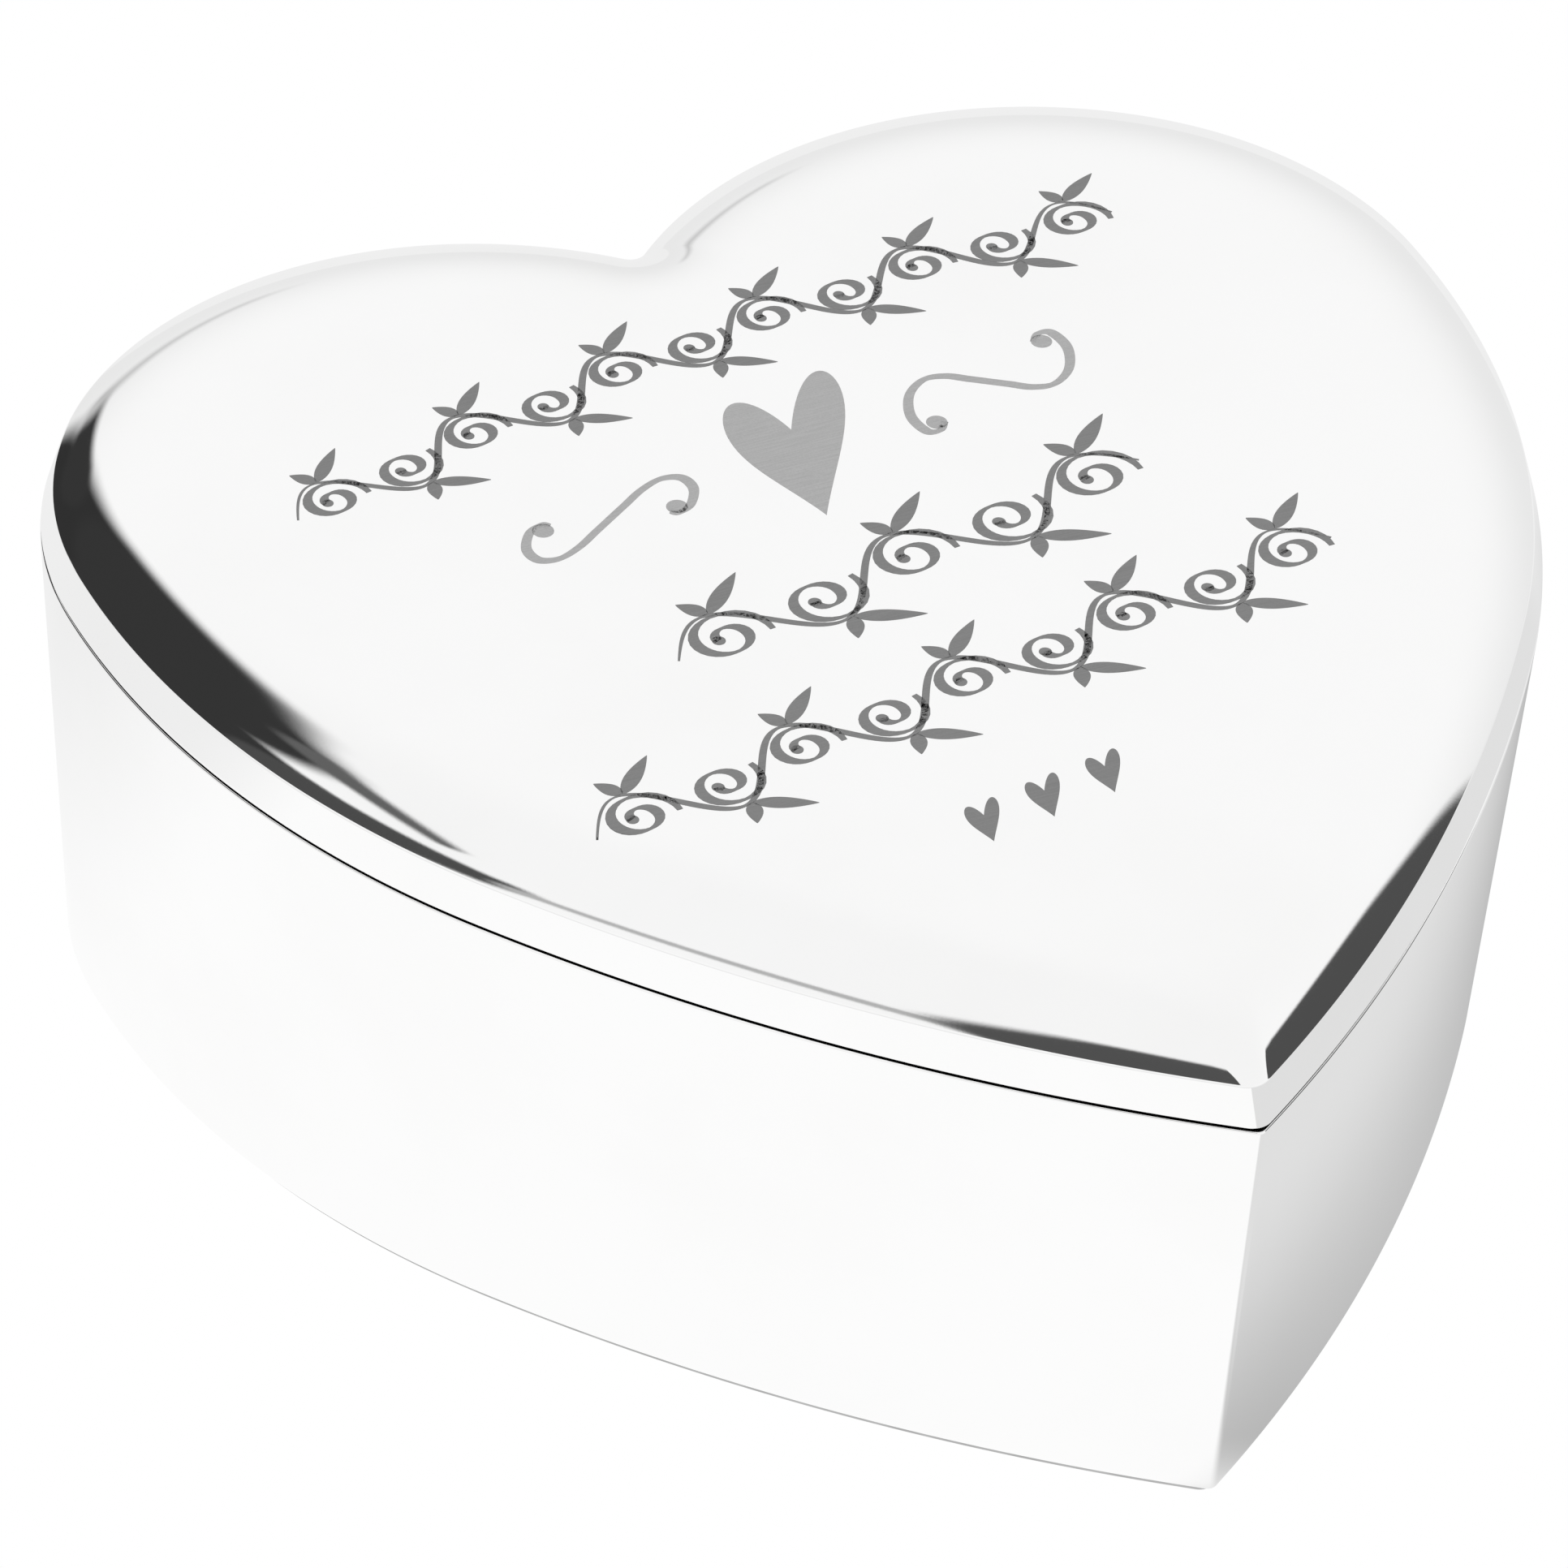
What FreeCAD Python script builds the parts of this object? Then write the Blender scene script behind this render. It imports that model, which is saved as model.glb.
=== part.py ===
import FreeCAD, Part

import math
import os

import Sketcher
from FreeCAD import Placement, Rotation, Vector

# A heart-shaped trinket box: a silver-plated base and lid joined by two small hinges behind the
# lobes, both lined with velvet. Millimetres, +Z up, the heart's tip towards -Y and its lobes and
# hinges towards +Y, mirror-symmetric about X = 0. Z = 0 is the plane that the box stands on.

SIZES = {
    # Outline at the rim: four tangent arcs on each side, from the tip to the cleft.
    "side_radius": 133.7,
    "side_centre_x": -75.9,
    "side_centre_y": 60.82,
    "haunch_radius": 59.1,
    "haunch_centre_x": -14.1,
    "lobe_radius": 24.5,
    "lobe_centre_x": 20.45,
    "crown_radius": 27.7,
    "crown_centre_x": 18.5,
    "cleft_radius": 0.4,
    "base_tip_radius": 0.5,
    "lid_tip_radius": 1.3,
    "lid_tip_growth": 0.7,
    "inner_tip_radius": 0.9,
    # Base shell: its wall leans in by "lean" from the rim down to the foot.
    "foot_height": 0.2,
    "rim_height": 30.1,
    "lean": 2.7,
    "wall": 1.2,
    "floor_top": 1.8,
    "foot_round": 1.0,
    "felt_recess_top": 0.8,
    "felt_margin": 3.0,
    "felt_gap": 0.15,
    # Lid shell: an upright band, a crisp crease, then a shoulder that dies into a low dome.
    "seam": 0.2,
    "band": 2.6,
    "band_lean": 0.66,
    "shoulder_rise": 2.3,
    "shoulder_width": 8.0,
    "dome_rise": 0.6,
    "dome_inset": 15.0,
    "lid_wall": 1.2,
    "lid_skin": 1.2,
    # Linings.
    "card": 0.8,
    "card_gap": 0.08,
    "velvet": 0.6,
    "velvet_gap": 0.05,
    "card_top": 29.2,
    "collar_top": 31.9,
    "floor_margin": 0.25,
    "board": 1.2,
    "foam": 2.4,
    "cover": 0.5,
    "lid_pad_inset": 5.0,
    "lid_board_top": 33.45,
    "lid_board": 1.0,
    "lid_foam": 1.4,
    # Hinges, one behind each lobe.
    "hinge_gap": 0.1,
    "hinge_drop": 1.5,
    "knuckle_radius": 1.05,
    "pin_radius": 0.5,
    "pin_bore": 0.52,
    "turning_bore": 0.55,
    "knuckle_length": 2.9,
    "knuckle_gap": 0.1,
    "pin_stand_out": 0.15,
    "arm_width": 2.3,
    "arm_height": 0.9,
    "lid_arm_height": 0.5,
    "lid_tab": 0.6,
    "arm_clearance": 0.05,
    "notch_clearance": 0.1,
    "leaf": 0.5,
    "leaf_gap": 0.04,
    "leaf_width": 8.6,
    "base_leaf_drop": 5.0,
    "stop_reach": 1.92,
    "stop_thickness": 0.7,
    "stop_angle": -19.0,
}

doc = FreeCAD.newDocument("heart_trinket_box")
sheet = doc.addObject("Spreadsheet::Sheet", "Sizes")
for row, (alias, size) in enumerate(SIZES.items(), start=1):
    sheet.set(f"A{row}", alias)
    sheet.set(f"B{row}", str(size))
    sheet.setAlias(f"B{row}", alias)
doc.recompute()


def cell(alias):
    return f"Sizes.{alias}"


def amount(expression):
    """The number that an expression in the sheet's cells comes to."""
    return float(doc.getObject("Sizes").evalExpression(expression.replace("Sizes.", "")))


# --- Levels and insets, as expressions in the sheet's cells -------------------------------------

RIM = cell("rim_height")
LID_EDGE = f"({RIM} + {cell('seam')})"
CREASE = f"({LID_EDGE} + {cell('band')})"
HINGE_HEIGHT = f"({RIM} + {cell('seam')} / 2 - {cell('hinge_drop')})"
SLOPE = f"({cell('lean')} / ({RIM} - {cell('foot_height')}))"
BAND_SLOPE = f"({cell('band_lean')} / {cell('band')})"
LINING_OUTSIDE = f"({cell('wall')} + {cell('card_gap')})"
VELVET_OUTSIDE = f"({LINING_OUTSIDE} + {cell('card')} + {cell('velvet_gap')})"
VELVET_INSIDE = f"({VELVET_OUTSIDE} + {cell('velvet')})"


def wall_inset(height, depth):
    """Inset from the rim's outline, at a height, of a surface this deep inside the base wall."""
    return f"(({RIM} - {height}) * {SLOPE} + {depth})"


def band_inset(height, depth):
    """The same for the lid's band."""
    return f"(({height} - {LID_EDGE}) * {BAND_SLOPE} + {depth})"


# --- The heart outline -------------------------------------------------------------------------


def heart_circles(inset, tip_radius):
    """Centres and radii of the right half's circles, from the tip to the cleft."""
    side = Vector(SIZES["side_centre_x"], SIZES["side_centre_y"], 0)
    radii = [SIZES[name] for name in ("side_radius", "haunch_radius", "lobe_radius", "crown_radius")]
    centres = [side]
    for x_name, before, after, below in (
        ("haunch_centre_x", radii[0], radii[1], -1),
        ("lobe_centre_x", radii[1], radii[2], 1),
        ("crown_centre_x", radii[2], radii[3], -1),
    ):
        x = SIZES[x_name]
        reach = before - after
        y = centres[-1].y + below * math.sqrt(reach**2 - (x - centres[-1].x) ** 2)
        centres.append(Vector(x, y, 0))
    tip_reach = radii[0] - inset - tip_radius
    tip = Vector(0, side.y - math.sqrt(tip_reach**2 - side.x**2), 0)
    cleft_reach = radii[3] + SIZES["cleft_radius"]
    cleft = Vector(0, centres[3].y + math.sqrt(cleft_reach**2 - centres[3].x ** 2), 0)
    circles = [(tip, tip_radius)]
    circles += [(centre, radius - inset) for centre, radius in zip(centres, radii)]
    circles.append((cleft, SIZES["cleft_radius"] + inset))
    return circles


def heading(origin, target):
    return math.atan2(target.y - origin.y, target.x - origin.x)


def joint_angles(circles):
    """Direction, seen from either centre, of each point where two neighbouring circles touch."""
    angles = []
    for (centre, radius), (other, other_radius) in zip(circles[:-2], circles[1:-1]):
        larger, smaller = (centre, other) if radius > other_radius else (other, centre)
        angles.append(heading(larger, smaller))
    angles.append(heading(circles[-2][0], circles[-1][0]))
    return angles


def arc(centre, radius, start, end):
    return Part.ArcOfCircle(Part.Circle(centre, Vector(0, 0, 1), radius), start, end)


def bind(sketch, kind, *what):
    """Add a dimension whose value is an expression, which comes last in what."""
    *place, expression = what
    value = float(sketch.evalExpression(expression))
    index = sketch.addConstraint(Sketcher.Constraint(kind, *place, value))
    sketch.setExpression(f"Constraints[{index}]", expression)


def flat_sketch(body, name, role, offset):
    """A sketch on one of the body's own origin planes, moved along its normal by an expression."""
    sketch = body.newObject("Sketcher::SketchObject", name)
    plane = next(item for item in body.Origin.OriginFeatures if item.Role == role)
    sketch.AttachmentSupport = [(plane, "")]
    sketch.MapMode = "FlatFace"
    sketch.setExpression("AttachmentOffset.Base.z", offset)
    return sketch


def heart_sketch(body, name, height, inset, tip_radius):
    """The rim's outline at a height, moved inwards by an inset, with a rounded tip and cleft."""
    sketch = flat_sketch(body, name, "XY_Plane", height)
    circles = heart_circles(amount(inset), amount(tip_radius))
    joints = joint_angles(circles)
    tip, cleft = circles[0], circles[-1]
    arcs = [arc(tip[0], tip[1], math.pi - joints[0], joints[0] + 2 * math.pi)]
    for (centre, radius), start, end in zip(circles[1:-1], joints[:-1], joints[1:]):
        arcs.append(arc(centre, radius, start, end if end > start else end + 2 * math.pi))
    turn = joints[-1] + math.pi
    arcs.append(arc(cleft[0], cleft[1], 3 * math.pi - turn, turn))
    for (centre, radius), start, end in reversed(list(zip(circles[1:-1], joints[:-1], joints[1:]))):
        flipped = Vector(-centre.x, centre.y, 0)
        arcs.append(arc(flipped, radius, math.pi - end, math.pi - start))
    sketch.addGeometry(arcs, False)

    ends = [(0, 2)] + [(index, 2) for index in range(1, 5)] + [(5, 1)]
    ends += [(index, 2) for index in range(6, 10)]
    starts = [(1, 1), (2, 1), (3, 1), (4, 1), (5, 2), (6, 1), (7, 1), (8, 1), (9, 1), (0, 1)]
    for (first, first_end), (second, second_end) in zip(ends, starts):
        sketch.addConstraint(Sketcher.Constraint("Tangent", first, first_end, second, second_end))
    names = ("side", "haunch", "lobe", "crown")
    for right, part in enumerate(names, start=1):
        left = 10 - right
        for index, sign in ((right, ""), (left, "-")):
            bind(sketch, "Radius", index, f"{cell(part + '_radius')} - {inset}")
            bind(sketch, "DistanceX", index, 3, f"{sign}{cell(part + '_centre_x')}")
    for index in (1, 9):
        bind(sketch, "DistanceY", index, 3, cell("side_centre_y"))
    bind(sketch, "Radius", 0, tip_radius)
    bind(sketch, "Radius", 5, f"{cell('cleft_radius')} + {inset}")
    return sketch


# --- Features ----------------------------------------------------------------------------------

BASE_TIP = cell("base_tip_radius")
INNER_TIP = cell("inner_tip_radius")
OVERCUT = "0.5"


def new_body(node):
    body = doc.addObject("PartDesign::Body", node)
    body.Label = node
    return body


def loft(body, kind, name, sections):
    """An AdditiveLoft or SubtractiveLoft through heart outlines given as (height, inset, tip)."""
    sketches = [
        heart_sketch(body, f"{name}_{index}", *section) for index, section in enumerate(sections)
    ]
    feature = body.newObject(f"PartDesign::{kind}Loft", name)
    feature.Profile = sketches[0]
    feature.Sections = sketches[1:]
    feature.Ruled = True
    for sketch in sketches:
        sketch.Visibility = False
    return feature


def pad(body, name, sketch, length):
    feature = body.newObject("PartDesign::Pad", name)
    feature.Profile = sketch
    feature.setExpression("Length", length)
    return feature


def pocket(body, name, sketch, depth):
    """Cut downwards from a sketch; the cut has to remove something."""
    doc.recompute()
    before = body.Shape.Volume
    feature = body.newObject("PartDesign::Pocket", name)
    feature.Profile = sketch
    feature.setExpression("Length", depth)
    doc.recompute()
    if not feature.Shape.Volume < before:
        raise RuntimeError(f"{body.Label}.{name} cuts nothing")
    return feature


def rectangles_sketch(body, name, height, boxes):
    """Rectangles, each given as low x, high x, low y and high y expressions."""
    sketch = flat_sketch(body, name, "XY_Plane", height)
    for low_x, high_x, low_y, high_y in boxes:
        xs = [amount(low_x), amount(high_x)]
        ys = [amount(low_y), amount(high_y)]
        corners = [(xs[0], ys[0]), (xs[1], ys[0]), (xs[1], ys[1]), (xs[0], ys[1])]
        points = [Vector(x, y, 0) for x, y in corners]
        first = sketch.GeometryCount
        lines = [Part.LineSegment(points[i], points[(i + 1) % 4]) for i in range(4)]
        sketch.addGeometry(lines, False)
        for i in range(4):
            joint = (first + i, 2, first + (i + 1) % 4, 1)
            sketch.addConstraint(Sketcher.Constraint("Coincident", *joint))
            level = "Horizontal" if i % 2 == 0 else "Vertical"
            sketch.addConstraint(Sketcher.Constraint(level, first + i))
        bind(sketch, "DistanceX", first, 1, low_x)
        bind(sketch, "DistanceY", first, 1, low_y)
        bind(sketch, "DistanceX", first + 1, 2, high_x)
        bind(sketch, "DistanceY", first + 1, 2, high_y)
    return sketch


# --- Hinge places ------------------------------------------------------------------------------

CROWN_Y = f"{heart_circles(0, SIZES['base_tip_radius'])[4][0].y:.6f}"
LOBE_TOP = f"({CROWN_Y} + {cell('crown_radius')})"
AXIS_Y = f"({LOBE_TOP} + {cell('hinge_gap')} + {cell('knuckle_radius')})"
LEAF_Y = f"({LOBE_TOP} - {cell('wall')} - {cell('leaf_gap')} - {cell('leaf')} / 2)"
KNUCKLE_PITCH = f"({cell('knuckle_length')} + {cell('knuckle_gap')})"
SIDES = (("left", "-"), ("right", ""))


def hinge_x(sign):
    return f"({sign}{cell('crown_centre_x')})"


def notch(x, width):
    """A rectangle across the wall at the back of a lobe, centred on x."""
    half = f"({width} / 2 + {cell('notch_clearance')})"
    inner = f"({LOBE_TOP} - {cell('wall')} - 1.5)"
    return f"{x} - {half}", f"{x} + {half}", inner, f"{LOBE_TOP} + 1"


# --- Base --------------------------------------------------------------------------------------


def make_base_shell():
    body = new_body("base_shell")
    foot = cell("foot_height")
    round_size = cell("foot_round")
    outside = []
    for turn in (0, 30, 60, 90):
        height = f"({foot} + {round_size} * {1 - math.cos(math.radians(turn)):.6f})"
        inset = wall_inset(height, f"{round_size} * {1 - math.sin(math.radians(turn)):.6f}")
        outside.append((height, inset, BASE_TIP))
    outside.append((RIM, "0", BASE_TIP))
    loft(body, "Additive", "outside", outside)
    cavity = []
    for height in (cell("floor_top"), f"({RIM} + {OVERCUT})"):
        cavity.append((height, wall_inset(height, cell("wall")), INNER_TIP))
    loft(body, "Subtractive", "cavity", cavity)
    recess_top = cell("felt_recess_top")
    inset = wall_inset(foot, cell("felt_margin"))
    pocket(body, "felt_recess", heart_sketch(body, "recess", recess_top, inset, INNER_TIP), "2")
    arms = []
    for _, sign in SIDES:
        for step in ("-", "+"):
            x = f"({hinge_x(sign)} {step} {KNUCKLE_PITCH})"
            arms.append(notch(x, cell("arm_width")))
    notches = rectangles_sketch(body, "arms", f"({RIM} + {OVERCUT})", arms)
    depth = f"{OVERCUT} + {cell('arm_height')} + {cell('arm_clearance')} + {cell('notch_clearance')}"
    pocket(body, "hinge_notches", notches, depth)
    return body


def make_base_felt():
    body = new_body("base_felt")
    inset = wall_inset(cell("foot_height"), f"({cell('felt_margin')} + {cell('felt_gap')})")
    outline = heart_sketch(body, "outline", "0", inset, INNER_TIP)
    pad(body, "sheet", outline, f"{cell('felt_recess_top')} - {cell('velvet_gap')}")
    return body


def leaf_relief(body, top, depth):
    """Cut the lining down from its top edge behind the two hinges' leaves."""
    boxes = []
    for _, sign in SIDES:
        half = f"({cell('leaf_width')} / 2 + 0.4)"
        inner = f"({LOBE_TOP} - {VELVET_INSIDE} - 1.2)"
        boxes.append((f"{hinge_x(sign)} - {half}", f"{hinge_x(sign)} + {half}", inner, LOBE_TOP))
    sketch = rectangles_sketch(body, "leaf_pockets", f"({top} + {OVERCUT})", boxes)
    pocket(body, "leaf_relief", sketch, f"{OVERCUT} + {depth}")


def make_ring(node, bottom, top, outer, inner):
    """A lining that follows the base wall between two depths inside it."""
    body = new_body(node)
    outside = [(height, wall_inset(height, outer), INNER_TIP) for height in (bottom, top)]
    loft(body, "Additive", "outside", outside)
    low, high = f"({bottom} - {OVERCUT})", f"({top} + {OVERCUT})"
    inside = [(height, wall_inset(height, inner), INNER_TIP) for height in (low, high)]
    loft(body, "Subtractive", "inside", inside)
    return body


def make_wall_card():
    bottom = f"({cell('floor_top')} + {cell('velvet_gap')})"
    depth = f"({LINING_OUTSIDE} + {cell('card')})"
    body = make_ring("wall_card", bottom, cell("card_top"), LINING_OUTSIDE, depth)
    leaf_relief(body, cell("card_top"), cell("base_leaf_drop"))
    return body


def make_wall_velvet():
    bottom = f"({cell('floor_top')} + {cell('velvet_gap')})"
    top = cell("collar_top")
    body = make_ring("wall_velvet", bottom, top, VELVET_OUTSIDE, VELVET_INSIDE)
    leaf_relief(body, top, f"{top} - {cell('card_top')}")
    return body


def plate(node, bottom, thickness, inset):
    """A flat heart-shaped layer."""
    body = new_body(node)
    pad(body, "sheet", heart_sketch(body, "outline", bottom, inset, INNER_TIP), thickness)
    return body


def stack_inset(depth):
    """Inset of a layer on the floor, clear of the wall's velvet by the floor's margin and more."""
    inside = f"{VELVET_INSIDE} + {cell('floor_margin')} + {depth}"
    return wall_inset(cell("floor_top"), inside)


BOARD_FOOT = f"({cell('floor_top')} + {cell('velvet_gap')})"
BOARD_TOP = f"({BOARD_FOOT} + {cell('board')})"
FOAM_FOOT = f"({BOARD_TOP} + {cell('velvet_gap')})"
FOAM_TOP = f"({FOAM_FOOT} + {cell('foam')})"
COVER_SPACE = f"({cell('cover')} + {cell('velvet_gap')})"
LID_BOARD_FOOT = f"({cell('lid_board_top')} - {cell('lid_board')})"
LID_FOAM_TOP = f"({LID_BOARD_FOOT} - {cell('velvet_gap')})"
LID_FOAM_FOOT = f"({LID_FOAM_TOP} - {cell('lid_foam')})"


def make_floor_velvet():
    """The floor pad's cloth: a cap over the foam, with its skirt down to the board."""
    body = new_body("floor_velvet")
    height = f"{FOAM_TOP} + {COVER_SPACE} - {FOAM_FOOT}"
    pad(body, "block", heart_sketch(body, "outline", FOAM_FOOT, stack_inset("0"), INNER_TIP), height)
    space_top = f"({FOAM_TOP} + {cell('velvet_gap')})"
    space = heart_sketch(body, "space", space_top, stack_inset(cell("cover")), INNER_TIP)
    pocket(body, "foam_space", space, f"{space_top} - {FOAM_FOOT} + {OVERCUT}")
    return body


def make_lid_velvet():
    """The lid pad's cloth: a cup under the foam, with its skirt up to the board."""
    body = new_body("lid_velvet")
    inset = cell("lid_pad_inset")
    foot = f"({LID_FOAM_FOOT} - {COVER_SPACE})"
    outline = heart_sketch(body, "outline", foot, inset, INNER_TIP)
    pad(body, "block", outline, f"{LID_FOAM_TOP} - {foot}")
    top = f"({LID_FOAM_TOP} + {OVERCUT})"
    space = heart_sketch(body, "space", top, f"({inset} + {cell('cover')})", INNER_TIP)
    pocket(body, "foam_space", space, f"{top} - ({LID_FOAM_FOOT} - {cell('velvet_gap')})")
    return body


# --- Lid ---------------------------------------------------------------------------------------

SHOULDER_STEPS = (0.1, 0.25, 0.45, 0.7, 1.0)


def lid_tip(inset):
    return f"({cell('lid_tip_radius')} + {cell('lid_tip_growth')} * {inset})"


def shoulder(step):
    """Height and inset of the lid's outside, from the crease at 0 to the dome's foot at 1."""
    rise = f"{1 - (1 - step) ** 3:.6f} * {cell('shoulder_rise')}"
    inset = f"({cell('band_lean')} + {step} * {cell('shoulder_width')})"
    return f"({CREASE} + {rise})", inset


def make_lid_shell():
    body = new_body("lid_shell")
    levels = [(LID_EDGE, "0"), (CREASE, cell("band_lean"))]
    levels += [shoulder(step) for step in SHOULDER_STEPS]
    dome_top = f"({CREASE} + {cell('shoulder_rise')} + {cell('dome_rise')})"
    levels.append((dome_top, cell("dome_inset")))
    loft(body, "Additive", "outside", [(z, inset, lid_tip(inset)) for z, inset in levels])

    skin = cell("lid_skin")
    foot = f"({LID_EDGE} - {OVERCUT})"
    brow = f"({CREASE} - 0.6 * {skin})"
    space = [(z, band_inset(z, cell("lid_wall"))) for z in (foot, brow)]
    for z, inset in levels[3:]:
        space.append((f"({z} - {skin})", f"({inset} + 0.4 * {skin})"))
    loft(body, "Subtractive", "inside", [(z, inset, lid_tip(inset)) for z, inset in space])

    arms = [notch(hinge_x(sign), cell("arm_width")) for _, sign in SIDES]
    height = f"{cell('arm_clearance')} + {cell('lid_arm_height')} + {cell('notch_clearance')}"
    notches = rectangles_sketch(body, "arms", f"({LID_EDGE} + {height})", arms)
    pocket(body, "hinge_notches", notches, f"{height} + {OVERCUT}")
    return body


# --- Hinges ------------------------------------------------------------------------------------


def primitive(kind, name, place, **sizes):
    item = doc.addObject(f"Part::{kind}", name)
    for size, expression in sizes.items():
        item.setExpression(size, expression)
    for axis, expression in zip("xyz", place):
        item.setExpression(f"Placement.Base.{axis}", expression)
    return item


def rod(name, x, radius, length):
    """A cylinder on the hinge axis, centred on x."""
    place = (f"{x} - ({length}) / 2", AXIS_Y, HINGE_HEIGHT)
    item = primitive("Cylinder", name, place, Radius=radius, Height=length)
    item.Placement = Placement(item.Placement.Base, Rotation(Vector(0, 1, 0), 90))
    return item


def boolean(kind, name, base, tool):
    item = doc.addObject(f"Part::{kind}", name)
    item.Base = base
    item.Tool = tool
    return item


def fuse(name, shapes):
    item = doc.addObject("Part::MultiFuse", name)
    item.Shapes = shapes
    item.Refine = True
    return item


def leaf_plate(name, x, foot, top, inset):
    """The leaf: a strip of a cone that lies against the inside of the wall behind a lobe."""
    sizes = []
    for extra in ("0", cell("leaf")):
        sizes.append([f"{cell('crown_radius')} - ({inset(z)} + {extra})" for z in (foot, top)])
    rings = []
    for label, (low, high) in zip(("outer", "inner"), sizes):
        place = (x, CROWN_Y, foot)
        height = f"{top} - {foot}"
        parts = {"Radius1": low, "Radius2": high, "Height": height}
        rings.append(primitive("Cone", f"{name}_{label}", place, **parts))
    ring = boolean("Cut", f"{name}_ring", *rings)
    place = (f"{x} - {cell('leaf_width')} / 2", CROWN_Y, f"{foot} - 1")
    sizes = {"Length": cell("leaf_width"), "Width": cell("crown_radius"), "Height": "20"}
    return boolean("Common", f"{name}_plate", ring, primitive("Box", f"{name}_trim", place, **sizes))


def arm(name, x, inner, outer, foot, top):
    """A bar as wide as a notch allows, between two distances from the front and two heights."""
    width = cell("arm_width")
    place = (f"{x} - {width} / 2", inner, foot)
    sizes = {"Length": width, "Width": f"{outer} - {inner}", "Height": f"{top} - {foot}"}
    return primitive("Box", name, place, **sizes)


def bored(node, solids, x, bore):
    whole = fuse(f"{node}_solid", solids)
    length = f"4 * {cell('knuckle_length')}"
    leaf = boolean("Cut", node, whole, rod(f"{node}_bore", x, bore, length))
    leaf.Label = node
    return leaf


def make_base_leaf(side, sign):
    node = f"{side}_base_leaf"
    top = f"({RIM} - {cell('arm_clearance')})"
    foot = f"({top} - {cell('base_leaf_drop')})"
    depth = f"({cell('wall')} + {cell('leaf_gap')})"
    solids = [leaf_plate(node, hinge_x(sign), foot, top, lambda z: wall_inset(z, depth))]
    arm_foot = f"({top} - {cell('arm_height')})"
    for label, step in (("first", "-"), ("second", "+")):
        x = f"({hinge_x(sign)} {step} {KNUCKLE_PITCH})"
        solids.append(arm(f"{node}_{label}_arm", x, LEAF_Y, AXIS_Y, arm_foot, top))
        name = f"{node}_{label}_knuckle"
        solids.append(rod(name, x, cell("knuckle_radius"), cell("knuckle_length")))
    return bored(node, solids, hinge_x(sign), cell("pin_bore"))


def stop_lug(node, x):
    """The lug behind the middle knuckle that meets the base wall when the lid is fully open."""
    start = f"{cell('knuckle_radius')} / 2"
    sizes = {
        "Length": cell("knuckle_length"),
        "Width": f"{cell('stop_reach')} - {start}",
        "Height": cell("stop_thickness"),
    }
    lug = primitive("Box", f"{node}_stop", (), **sizes)
    corner = Vector(
        amount(f"{x} - {cell('knuckle_length')} / 2"),
        amount(f"{AXIS_Y} + {start}"),
        amount(f"{HINGE_HEIGHT} - {cell('stop_thickness')} / 2"),
    )
    axis = Vector(0, amount(AXIS_Y), amount(HINGE_HEIGHT))
    turn = Rotation(Vector(1, 0, 0), SIZES["stop_angle"])
    lug.Placement = Placement(Vector(0, 0, 0), turn, axis).multiply(Placement(corner, Rotation()))
    return lug


def make_lid_leaf(side, sign):
    """A leaf whose arm leaves through the lid's notch and turns down to the middle knuckle."""
    node = f"{side}_lid_leaf"
    x = hinge_x(sign)
    foot = f"({LID_EDGE} + {cell('arm_clearance')})"
    top = f"({CREASE} - {cell('lid_skin')} + {cell('arm_clearance')})"
    depth = f"({cell('lid_wall')} + {cell('leaf_gap')})"
    arm_top = f"({foot} + {cell('lid_arm_height')})"
    tab_inner = f"({LOBE_TOP} + {cell('hinge_gap')})"
    tab_outer = f"({tab_inner} + {cell('lid_tab')})"
    solids = [
        leaf_plate(node, x, foot, top, lambda z: band_inset(z, depth)),
        arm(f"{node}_arm", x, LEAF_Y, tab_outer, foot, arm_top),
        arm(f"{node}_tab", x, tab_inner, tab_outer, HINGE_HEIGHT, arm_top),
        rod(f"{node}_knuckle", x, cell("knuckle_radius"), cell("knuckle_length")),
        stop_lug(node, x),
    ]
    return bored(node, solids, x, cell("turning_bore"))


def make_hinge_pin(side, sign):
    node = f"{side}_hinge_pin"
    pitches = f"2 * {KNUCKLE_PITCH} + {cell('knuckle_length')} + 2 * {cell('pin_stand_out')}"
    pin = rod(node, hinge_x(sign), cell("pin_radius"), pitches)
    pin.Label = node
    return pin


# --- The box -----------------------------------------------------------------------------------


def make_parts():
    lid_inset = cell("lid_pad_inset")
    lid_foam_inset = f"({lid_inset} + {COVER_SPACE})"
    nodes = [
        make_base_shell(),
        make_base_felt(),
        make_wall_card(),
        make_wall_velvet(),
        plate("floor_board", BOARD_FOOT, cell("board"), stack_inset("0")),
        plate("floor_foam", FOAM_FOOT, cell("foam"), stack_inset(COVER_SPACE)),
        make_floor_velvet(),
        make_lid_shell(),
        plate("lid_board", LID_BOARD_FOOT, cell("lid_board"), lid_inset),
        plate("lid_foam", LID_FOAM_FOOT, cell("lid_foam"), lid_foam_inset),
        make_lid_velvet(),
    ]
    for side, sign in SIDES:
        nodes += [make_base_leaf(side, sign), make_lid_leaf(side, sign), make_hinge_pin(side, sign)]
    return nodes


def check(nodes):
    for item in doc.Objects:
        if {"Invalid", "Error"} & set(item.State):
            raise RuntimeError(f"{item.Label} did not build: {item.State}")
    for node in nodes:
        shape = node.Shape
        if shape.isNull() or not shape.isValid() or len(shape.Solids) != 1:
            raise RuntimeError(f"{node.Label} is not one valid solid")


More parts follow.
